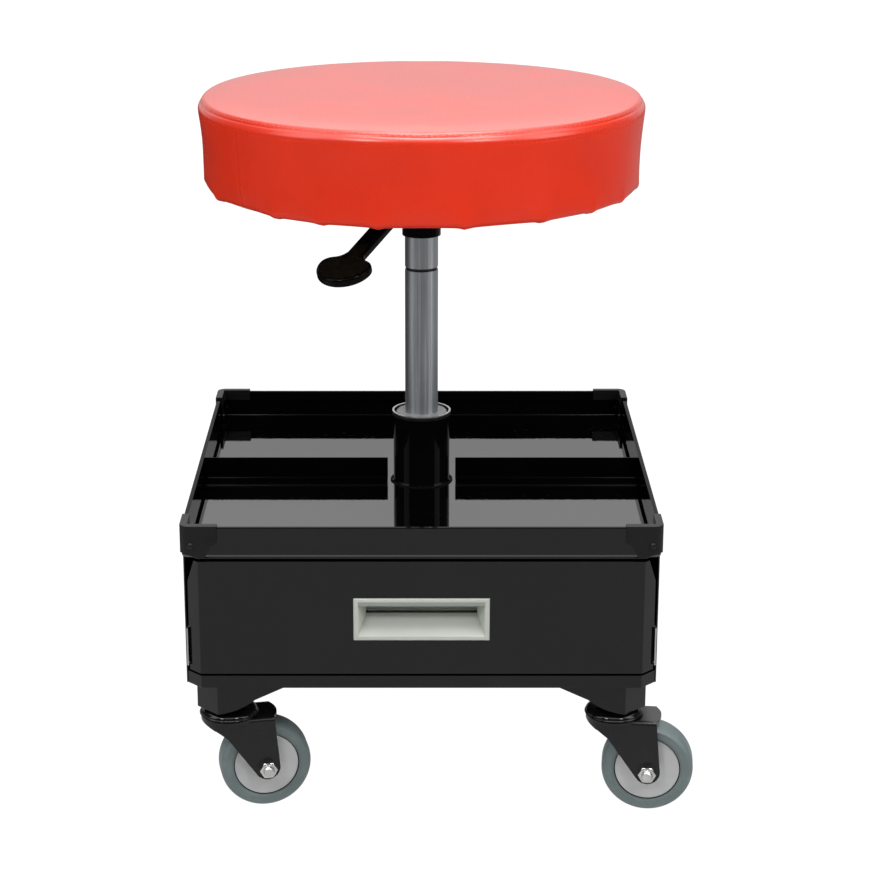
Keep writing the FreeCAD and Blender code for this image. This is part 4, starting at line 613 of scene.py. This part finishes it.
def blown_padding(s):
    """Blows up a small copy of the cushion as cloth: where its points started, and how they moved."""
    rim, top, bottom = RIM - s.start_inset, TOP - s.start_inset, BOTTOM + s.start_inset
    section = [(rim * t, top) for t in (0.02, 0.3, 0.6, 0.85)]
    section += [(rim - 0.004, top), (rim, top - 0.005), (rim - s.side_lean, bottom + 0.005),
                (rim - s.side_lean - 0.005, bottom)]
    section += [(rim * t, bottom) for t in (0.85, 0.5, 0.02)]
    pad = stacked("padding", [turned_rings(section, 96)], bpy.data.materials.new("padding"))
    bpy.context.view_layer.objects.active = pad
    remesh = modify(pad, "grain", "REMESH", mode="VOXEL", voxel_size=s.voxel)
    with bpy.context.temp_override(object=pad, active_object=pad):
        bpy.ops.object.modifier_apply(modifier=remesh.name)
    rest = np.array([v.co for v in pad.data.vertices])
    bearing = np.degrees(np.arctan2(rest[:, 1], rest[:, 0]))
    near = np.min([np.abs((bearing - a + 180.0) % 360.0 - 180.0) for a in GATHERS], axis=0)
    stapled = (rest[:, 2] < bottom + 0.003) | ((rest[:, 2] < bottom + 0.012) & (near < 2.2))
    sewn = (np.abs(rest[:, 2] - top + 0.004) < 0.004) & (np.hypot(rest[:, 0], rest[:, 1]) > rim - 0.006)
    held = pad.vertex_groups.new(name="held")
    held.add(np.flatnonzero(stapled).tolist(), 1.0, "REPLACE")
    held.add(np.flatnonzero(sewn & ~stapled).tolist(), 0.35, "REPLACE")
    cover = pad.modifiers.new("cover", "CLOTH")
    assign(cover.settings, {**CLOTH, "uniform_pressure_force": s.pressure, "vertex_group_mass": held.name})
    cover.settings.effector_weights.gravity = 0.0
    cover.point_cache.frame_start = 1
    cover.point_cache.frame_end = s.frames
    scene = bpy.context.scene
    for moment in range(1, s.frames + 1):
        scene.frame_set(moment)
    seen = pad.evaluated_get(bpy.context.evaluated_depsgraph_get())
    settled = np.array([v.co for v in seen.data.vertices])
    scene.frame_set(1)
    bpy.data.objects.remove(pad)
    return rest, settled - rest


def swell_over(points, s):
    """How far each point of the cover moves with the blown padding, evened out and held under the cap."""
    rest, moved = blown_padding(s)
    tree = KDTree(len(rest))
    for index, place in enumerate(rest):
        tree.insert(place, index)
    tree.balance()
    swell = np.zeros_like(points)
    neighbours, blur = 24, 0.006
    for index, place in enumerate(points):
        found = tree.find_n(place, neighbours)
        weights = np.array([1.0 / (distance + blur) ** 2 for _, _, distance in found])
        swell[index] = weights @ moved[[i for _, i, _ in found]] / weights.sum()
    # the middle of the top moves as one
    reach = np.hypot(points[:, 0], points[:, 1])
    calm = 0.05
    part = np.clip(reach / calm, 0.0, 1.0)[:, None] ** 2
    swell = swell[reach < calm].mean(axis=0) * (1.0 - part) + swell * part
    size = np.linalg.norm(swell, axis=1, keepdims=True)
    print("swell, mm: most %.2f, middle of the top %.2f" % (size.max() * 1000, swell[0][2] * 1000))
    return swell * s.swell_cap * np.tanh(size / s.swell_cap) / np.maximum(size, 1e-9)


def swept_rings(heights, reach, count=48):
    """Rings at these heights, each as wide as reach says for its height and bearing."""
    turns = [math.tau * i / count for i in range(count)]
    return [[(reach(z, turn) * math.cos(turn), reach(z, turn) * math.sin(turn), z) for turn in turns]
            for z in heights]


def turned_rings(profile, count=48):
    """Rings of a turned piece, from its radii and heights."""
    return [ring for r, z in profile for ring in swept_rings([z], lambda *_: r, count)]


def hexagonal(flats, low, high, bevel):
    """Rings of a six-sided bar from low to high, its corners turned off by a cone at the high end."""
    top, slope = 0.97, 1.7  # the cone's share of the flats at the high end, and how fast it widens

    def reach(z, turn):
        flat = flats / 2 / math.cos(turn % (math.pi / 3) - math.pi / 6)
        return min(flat, flats / 2 * top + (high - z) * slope)

    return swept_rings([low] + [high - bevel * t for t in (1.0, 0.75, 0.5, 0.3, 0.12, 0.0)], reach)


def threaded(radius, low, high, pitch, depth):
    """Rings of a threaded bar from low to high, with a turned-off end."""
    def reach(z, turn):
        groove = 0.5 + 0.5 * math.cos(math.tau * z / pitch - turn)
        return radius - depth * groove - depth * 1.2 * (1.0 - min(1.0, (high - z) / pitch))

    steps = max(8, round((high - low) / pitch * 8))
    return swept_rings([low + (high - low) * k / steps for k in range(steps + 1)], reach)


def towards(bearing):
    return Vector((math.cos(bearing), math.sin(bearing), 0.0))


def strand(path, girths, aside, sides=6):
    """Rings of a thread that runs along path, as thick as girths says; it never runs along aside."""
    rings = []
    for k, (here, girth) in enumerate(zip(path, girths)):
        along = (path[min(k + 1, len(path) - 1)] - path[max(k - 1, 0)]).normalized()
        across = (aside - along * aside.dot(along)).normalized()
        other = along.cross(across)
        turns = [math.tau * i / sides for i in range(sides)]
        rings.append([here + (across * math.cos(turn) + other * math.sin(turn)) * girth for turn in turns])
    return rings


def stacked(name, stacks, material):
    """One piece out of several closed stacks of rings."""
    points, faces = [], []
    for rings in stacks:
        columns, first = len(rings[0]), len(points)
        last = first + (len(rings) - 1) * columns
        faces += grid_faces(len(rings), columns, first)
        faces += [tuple(range(first, first + columns))[::-1], tuple(range(last, last + columns))]
        points += [point for ring in rings for point in ring]
    return new_piece(name, points, faces, material)


def assembled(name, stacks, material):
    """One hard piece out of several stacks of rings, each with the matrix that sets it down."""
    stacks = [[[place @ Vector(point) for point in ring] for ring in rings] for rings, place in stacks]
    piece = stacked(name, stacks, material)
    piece.data.set_sharp_from_angle(angle=CREASE)
    return piece


def wheel_place(corner):
    """Where a wheel's axle is: Z runs along it towards the nut, and X the way the fork trails."""
    joint = JOINTS["roll_" + corner]
    axle = Vector(joint["axis"]).normalized()
    turn = Matrix((axle.cross(UP), UP, -axle)).transposed()
    return Matrix.Translation(Vector(joint["pos_m"])) @ turn.to_4x4()


def modify(piece, name, kind, **settings):
    return assign(piece.modifiers.new(name, kind), settings)


def break_edges(piece, width):
    """Joins the facets of a piece, rounds its sharp edges by width and shades its flat faces flat."""
    modify(piece, "join", "WELD", merge_threshold=0.00002)
    modify(piece, "flatten", "DECIMATE", decimate_type="DISSOLVE", angle_limit=math.radians(0.4))
    modify(piece, "round", "BEVEL", width=width, segments=2, limit_method="ANGLE",
           angle_limit=math.radians(32), miter_outer="MITER_ARC", use_clamp_overlap=True)
    modify(piece, "shade", "WEIGHTED_NORMAL", mode="FACE_AREA", weight=100, keep_sharp=False)


class CREEPER_OT_stage(Operator):
    """Lays the floor, sets the lamps and the world, and stands the camera where the photograph was taken"""

    bl_idname = "creeper.stage"
    bl_label = "Set the Stage"

    def execute(self, context):
        s = context.scene.creeper_studio
        self.lay_floor(s)
        self.light_world(context, s)
        self.lamp("lamp_overhead", (0.15, -0.45, 2.5), (0.15, -0.45, 0.0), (1.5, 1.3), s.overhead)
        self.lamp("lamp_front_left", (-1.25, -1.95, 2.1), (0.0, 0.0, 0.4), (0.5, 0.5), s.front)
        self.lamp("lamp_front_right", (1.25, -1.95, 2.1), (0.0, 0.0, 0.4), (0.5, 0.5), s.front)
        self.lamp("lamp_left", (-2.1, -1.0, 1.5), (0.0, 0.0, 0.3), (1.1, 1.9), s.left)
        self.lamp("lamp_right", (2.2, -0.9, 1.4), (0.0, 0.0, 0.3), (1.1, 1.9), s.right)
        self.stand_camera(context, s)
        return {"FINISHED"}

    def lay_floor(self, s):
        """A floor that is white to the camera but for a soft shadow, and grey or dim in gloss."""
        f = Finish("floor_white")
        seen, glossy = f.rays()
        x, y, _ = f.axes(f.place())
        reach = (x * x + y * y) ** 0.5
        far = f.between(reach, 0.45, 1.5)
        tone = f.mixed(f.between(f.noise(3.0), 0.4, 0.6), tint(s.floor, 0.995), s.floor)
        matt = f.node("ShaderNodeBsdfDiffuse", None, {"Color": tone})
        white = f.glow("ShaderNodeEmission", s.floor_glow)
        lit = f.blended(seen * (1.0 - s.shadow + far * s.shadow), matt, white)
        ahead = f.between(-y / (reach + 0.001), -0.35, 0.1)
        behind = f.between(x / (reach + 0.001), -0.1, 0.5, s.floor_left, s.floor_right)
        shade = behind + (f.between(reach, 1.1, 1.8, s.floor_near, s.floor_distant) - behind) * ahead
        grey = f.mixed(shade, (0.0, 0.0, 0.0), (1.0, 1.0, 1.0))
        material = f.ended(f.blended(glossy, lit, f.glow("ShaderNodeEmission", 1.0, grey)))
        size = 9.0
        corners = [(-size, -size, 0), (size, -size, 0), (size, size, 0), (-size, size, 0)]
        floor = new_piece("studio_floor", corners, [(0, 1, 2, 3)], material, smooth=False)

    def light_world(self, context, s):
        """An even white sky; gloss sees a backdrop behind the piece, a brighter ceiling and a dim room."""
        context.scene.world = bpy.data.worlds.new("studio_world")
        f = Finish(context.scene.world)
        seen, glossy = f.rays()
        x, y, z = f.axes(f.node("ShaderNodeTexCoord"))
        behind = f.between(y / ((x * x + y * y) ** 0.5 + 0.001), 0.55, 0.92)
        glow = f.between(z, 0.20, 0.7, s.backdrop, s.ceiling)
        sky, backdrop, room, ceiling, white = (f.glow("ShaderNodeBackground", strength)
                                               for strength in (s.sky_light, glow, s.room, s.ceiling, 1.0))
        mirrored = f.blended(f.between(z, 0.6, 0.8), f.blended(behind, room, backdrop), ceiling)
        f.ended(f.blended(seen, f.blended(glossy, sky, mirrored), white), "ShaderNodeOutputWorld")
        context.scene.view_settings.view_transform = "Standard"

    def lamp(self, name, where, target, size, watts):
        data = bpy.data.lights.new(name, "AREA")
        data.shape = "RECTANGLE"
        data.size, data.size_y = size
        data.energy = watts
        lamp = linked(name, data)
        lamp.location = where
        lamp.rotation_euler = (Vector(target) - Vector(where)).to_track_quat("-Z", "Y").to_euler()

    def stand_camera(self, context, s):
        data = bpy.data.cameras.new("photo_camera")
        data.sensor_width = 36.0
        data.lens = s.focal_length
        data.shift_x = s.shift
        data.clip_start, data.clip_end = 0.05, 60.0
        camera = linked("photo_camera", data)
        camera.location = (0.0, -s.camera_back, s.camera_height)
        camera.rotation_euler = (math.pi / 2 - s.camera_pitch, 0.0, 0.0)
        context.scene.camera = camera


class CREEPER_OT_cushion(Operator):
    """Blows up the padding, cuts the cover's seams into it and gathers its hem"""

    bl_idname = "creeper.cushion"
    bl_label = "Upholster the Cushion"

    def execute(self, context):
        s = context.scene.creeper_cushion
        stitches = context.scene.creeper_stitches
        profile, columns, vertices = dressed_cushion(s, stitches)
        vertices += swell_over(vertices, s)
        faces = [face[::-1] for face in grid_faces(len(profile), columns)]
        faces.append(tuple(range(columns)))
        material = soft_vinyl("seat_vinyl", context.scene.creeper_finish.vinyl, TOP - s.buffed_drop)
        cover = new_piece("seat_cushion", vertices, faces, material)
        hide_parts("seat_cover")
        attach(cover, "seat")
        modify(NODES["seat_foam"], "under_cover", "DISPLACE", mid_level=0.0, strength=-s.foam_gap)
        self.sew(context, s, stitches, profile, columns, vertices)
        self.staple(context, s, stitches)
        return {"FINISHED"}

    def sew(self, context, s, stitches, profile, columns, vertices):
        """One row of topstitching along the seam, each stitch lying on the cover."""
        wanted = RIM - s.seam_inset - stitches.inset
        top_rows = [i for i, (r, z) in enumerate(profile) if z >= TOP - s.seam_drop]
        row = min(top_rows, key=lambda i: abs(profile[i][0] - wanted))
        count = columns // s.columns_per_stitch
        threads = []
        for number in range(count):
            path, girths = [], []
            for t in (-1.0, -0.8, -0.45, 0.0, 0.45, 0.8, 1.0):
                theta = math.tau * (number + 0.5) / count + t * stitches.length / 2 / RIM
                column = theta / math.tau * columns
                low, part = int(column), column - int(column)
                near, far = (Vector(vertices[row * columns + (low + step) % columns]) for step in (0, 1))
                lift = towards(theta) * 0.35 + UP * 0.94
                path.append(near.lerp(far, part) + lift * (0.00010 - 0.00050 * t ** 4))
                girths.append(stitches.thread * (1.0 - 0.4 * t ** 4))
            threads.append(strand(path, girths, UP))
        material = twisted_thread("seat_thread", context.scene.creeper_finish.thread)
        thread = stacked("seat_topstitching", threads, material)
        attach(thread, "seat")

    def staple(self, context, s, stitches):
        """A ring of staples that hold the cover's hem under the board."""
        rng = random.Random(3)
        count = round(math.tau * s.hem_opening / stitches.staple_pitch)
        wires = []
        shape = ((-1.0, 0.0015), (-1.0, 0.0005), (-0.93, 0.0), (-0.5, 0.0), (0.0, 0.0), (0.5, 0.0), (0.93, 0.0),
                 (1.0, 0.0005), (1.0, 0.0015))
        for number in range(count):
            theta = math.tau * (number + rng.uniform(-0.12, 0.12)) / count
            radius = s.hem_opening + rng.uniform(0.004, 0.0065)
            turn = theta + math.pi / 2 + rng.uniform(-0.35, 0.35)
            middle = towards(theta) * radius
            along = towards(turn) * stitches.staple_width / 2
            low = BOTTOM - stitches.staple_wire * 0.45
            path = [middle + along * t + UP * (low + rise) for t, rise in shape]
            wires.append(strand(path, [stitches.staple_wire / 2] * len(path), along.cross(UP)))
        material = plated("staple_zinc", context.scene.creeper_finish.zinc, 0.3)
        staples = stacked("seat_staples", wires, material)
        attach(staples, "seat")


class CREEPER_OT_casters(Operator):
    """Turns the casters' domes, the black rings that stand in their wheels' grooves as painted shade, and their
    axle bolts with threaded nuts
    """

    bl_idname = "creeper.casters"
    bl_label = "Fit the Casters"

    def execute(self, context):
        s = context.scene.creeper_casters
        finish = context.scene.creeper_finish
        zinc = plated("axle_zinc", tint(finish.zinc, 1.25), 0.16)
        black = moulded("seal_rubber", tint(finish.plastic, 0.3), 0.00002, 0.6, 1.5, 1.2)
        for corner in CORNERS:
            place = wheel_place(corner)
            bolt = assembled("axle_bolt_" + corner, self.axle(s, place), zinc)
            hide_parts("axle_" + corner)
            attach(bolt, "caster_" + corner)
            # a thin black ring sunk in the groove on each face of the wheel stands for the groove's shade: a
            # dark ring put where there is only shade
            inner, outer = s.shade_ring_radius - s.shade_ring_width / 2, s.shade_ring_radius + s.shade_ring_width / 2
            shade_rings = []
            for side in (-1.0, 1.0):
                face, back = side * s.shade_ring_height, side * (s.shade_ring_height - 0.0006)
                ring = turned_rings([(inner, back), (inner, face), (outer, face), (outer, back)])
                shade_rings.append((ring, place))
            shade_ring = assembled("wheel_seals_" + corner, shade_rings, black)
            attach(shade_ring, "wheel_" + corner)
        self.press_domes(s, finish)
        return {"FINISHED"}

    def axle(self, s, place):
        """Head, shank, nut with its countersink, and the thread that stands out of it."""
        flip = place @ Matrix.Rotation(math.pi, 4, "X")
        half, top = s.fork_half, s.fork_half + s.nut_height
        head = hexagonal(s.nut_flats, half, half + s.head_height, s.nut_bevel)
        nut = hexagonal(s.nut_flats, half, top, s.nut_bevel)
        nut += turned_rings([(s.thread + 0.0008, top), (s.thread + 0.0001, top - 0.0007)])
        shank = turned_rings([(s.thread, -half), (s.thread, half)])
        tail = threaded(s.thread, top - 0.0015, top + s.thread_tail, s.thread_pitch, 0.00035)
        return [(head, flip), (nut, place), (shank, place), (tail, place)]

    def press_domes(self, s, finish):
        """The glossy pressed domes over the swivels."""
        low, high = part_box("caster_domes")
        radius = high.x - JOINTS["swivel_front_right"]["pos_m"][0]
        lip = ((-0.0016, 0.0001), (-0.0002, 0.0), (0.0003, 0.0001), (0.0006, 0.0004), (0.0006, 0.0008),
               (0.0003, 0.0012), (0.0, s.dome_lip))
        profile = [(radius + out, low.z + rise) for out, rise in lip]
        rise = high.z - low.z - s.dome_lip
        steps = 16
        for step in range(1, steps + 1):
            turn = math.pi / 2 * step / steps
            profile.append((s.dome_top + (radius - s.dome_top) * math.cos(turn),
                            low.z + s.dome_lip + rise * math.sin(turn)))
        bore = 0.0065
        profile += [(s.dome_top * 0.8, high.z), (bore, high.z)]
        rings = turned_rings(profile, 96)
        places = [JOINTS["swivel_" + corner]["pos_m"] for corner in CORNERS]
        stacks = [(rings, Matrix.Translation((x, y, 0.0))) for x, y, _ in places]
        domes = assembled("swivel_domes", stacks, gloss_paint("dome_paint", finish.paint, 0.00004, 0.04))
        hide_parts("caster_domes")
        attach(domes, "base")


class CREEPER_OT_paint(Operator):
    """Paints the cabinet, drawer, tray, post, legs and casters gloss black, and welds the post to the tray"""

    bl_idname = "creeper.paint"
    bl_label = "Paint the Sheet Metal"

    def execute(self, context):
        s = context.scene.creeper_finish
        coat(["cabinet_shell", "cabinet_floor", "drawer_front"],
             gloss_paint("cabinet_paint", s.paint, 0.0011, 0.05))
        coat(["drawer_pan"], gloss_paint("drawer_paint", s.paint, 0.0006, 0.09))
        walls = (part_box("tray_divider_left")[0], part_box("tray_pan")[1])
        coat(["tray_pan", "tray_divider_left", "tray_divider_right"],
             gloss_paint("tray_paint", tint(s.paint, 0.4), 0.0007, 0.012, 2.0, walls))
        coat(["post_tube", "post_socket", "seat_collar", "seat_plate", "lever_arm"],
             gloss_paint("post_paint", tint(s.paint, 0.6), 0.0001, 0.05, 1.18))
        coat(at_corners("corner_leg"), gloss_paint("leg_paint", s.paint, 0.0006, 0.08))
        coat(at_corners("fork"), gloss_paint("caster_paint", tint(s.paint, 2.0), 0.0002, 0.26))
        for name in SHEET_METAL:
            break_edges(NODES[name], s.edge)
        self.weld(s)
        return {"FINISHED"}

    def weld(self, s):
        """The rippled bead round the post's foot, laid in short runs."""
        rng = random.Random(11)
        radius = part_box("post_tube")[1].x - s.bead * 0.6
        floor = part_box("tray_divider_left")[0].z
        runs, steps = [], 60
        for run in range(5):
            start, sweep = 90.0 + 72.0 * run + rng.uniform(-5.0, 5.0), 72.0 + rng.uniform(2.0, 7.0)
            path, girths = [], []
            for step in range(steps + 1):
                turn = math.radians(start + sweep * step / steps)
                reach = radius + rng.uniform(-0.0002, 0.0002)
                path.append(towards(turn) * reach + UP * (floor + s.bead * 0.15))
                tapered = min(1.0, (min(step, steps - step) + 1) / 4)
                girths.append(s.bead * (0.8 + 0.2 * math.sin(step * 1.9)) * tapered)
            runs.append(strand(path, girths, UP, 10))
        material = gloss_paint("weld_paint", tint(s.paint, 0.5), 0.0002, 0.45, 1.15)
        bead = stacked("post_weld", runs, material)
        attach(bead, "base")


class CREEPER_OT_metal(Operator):
    """Finishes the lift, the ring, the slides and the plated fasteners"""

    bl_idname = "creeper.metal"
    bl_label = "Finish the Bare Metal"

    def execute(self, context):
        s = context.scene.creeper_finish
        # the lift cylinder is black inside 13.4 mm radius: painted shade in its groove
        coat(["lift_cylinder"], drawn_steel("lift_steel", tint(s.steel, 1.32), 0.36, 0.0134, 0.6))
        coat(["piston_rod"], drawn_steel("rod_chrome", tint(s.steel, 1.5), 0.08))
        ring_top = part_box("post_collar_ring")[1].z
        coat(["post_collar_ring"],
             drawn_steel("ring_steel", tint(s.steel, 1.1), 0.3, 0.0, 0.0, ring_top - 0.0011))
        coat(["thrust_washer", "thrust_bearing", "rod_clip", "caster_ball_rings"],
             drawn_steel("bearing_steel", tint(s.steel, 0.9), 0.25))
        coat(["slide_channel_left", "slide_channel_right", "drawer_runner_left", "drawer_runner_right"],
             plated("slide_zinc", s.zinc, 0.28))
        coat(["caster_stems", "caster_nuts", "drawer_rivets", "seat_bolts", "lever_pin"],
             plated("fastener_zinc", s.zinc, 0.22))
        coat(["release_button"], plated("button_brass", (0.62, 0.45, 0.20), 0.25))
        return {"FINISHED"}


class CREEPER_OT_mouldings(Operator):
    """Finishes the plastic pieces, the tyres, the board and the foam"""

    bl_idname = "creeper.mouldings"
    bl_label = "Finish Plastic and Rubber"

    def execute(self, context):
        s = context.scene.creeper_finish
        coat(["tray_corner_caps"], moulded("cap_plastic", s.plastic, 0.00009, 0.42, 1.9))
        coat(["tray_screws"], moulded("screw_black", tint(s.plastic, 1.5), 0.00002, 0.3, 1.5))
        coat(["lever_paddle"], moulded("lever_plastic", tint(s.plastic, 0.35), 0.000008, 0.16, 1.6, 1.16))
        front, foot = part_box("drawer_handle")[0][1:]
        # painted shade in the drawer pull's pocket: a near-black band on the floor of its groove, and a
        # mid-grey band on the lower part of its top border
        mouth = (-s.mouth / 2, s.mouth / 2)
        groove = ((0.015, 0.022, 0.017), mouth, (front + s.groove, front + s.groove + 0.0045),
                  (foot + 0.016, foot + 0.0177))
        lip = (tint(s.handle, 0.55), mouth, (front - 0.001, front + 0.004),
               (foot + s.lip, foot + s.lip + 0.0032))
        coat(["drawer_handle"], moulded("handle_plastic", s.handle, 0.00004, 0.42, 0.93, painted_shade=(groove, lip)))
        coat(["post_guide_sleeve"], moulded("sleeve_plastic", s.sleeve, 0.00008, 0.4, 0.55))
        coat(at_corners("wheel_hub"), moulded("hub_plastic", s.hub, 0.00003, 0.38, 0.85))
        coat(at_corners("tyre"), rubber("tyre_rubber", s.tyre))
        coat(["seat_board"], plywood("board_wood", s.wood))
        coat(["seat_foam"], open_foam("seat_foam"))
        return {"FINISHED"}


class CREEPER_PT_panel(Panel):
    bl_label = "Creeper Seat"
    bl_idname = "CREEPER_PT_panel"
    bl_space_type = "VIEW_3D"
    bl_region_type = "UI"
    bl_category = "Creeper Seat"

    def draw(self, context):
        for operator in STEPS:
            self.layout.operator(operator.bl_idname)
        for name in GROUPS:
            group, box = getattr(context.scene, name), self.layout.box()
            for setting in group.__annotations__:
                box.prop(group, setting)


STEPS = (CREEPER_OT_stage, CREEPER_OT_cushion, CREEPER_OT_casters, CREEPER_OT_paint, CREEPER_OT_metal,
         CREEPER_OT_mouldings)
GROUPS = {
    "creeper_cushion": CushionSettings,
    "creeper_stitches": StitchSettings,
    "creeper_casters": CasterSettings,
    "creeper_finish": FinishSettings,
    "creeper_studio": StudioSettings,
}
CLASSES = (*GROUPS.values(), *STEPS, CREEPER_PT_panel)


def register():
    for cls in CLASSES:
        bpy.utils.register_class(cls)
    for name, group in GROUPS.items():
        setattr(bpy.types.Scene, name, PointerProperty(type=group))


def unregister():
    for name in GROUPS:
        delattr(bpy.types.Scene, name)
    for cls in reversed(CLASSES):
        bpy.utils.unregister_class(cls)


def main():
    register()
    bpy.ops.creeper.stage()
    bpy.ops.creeper.cushion()
    bpy.ops.creeper.casters()
    bpy.ops.creeper.paint()
    bpy.ops.creeper.metal()
    bpy.ops.creeper.mouldings()


if __name__ == "__main__":
    main()
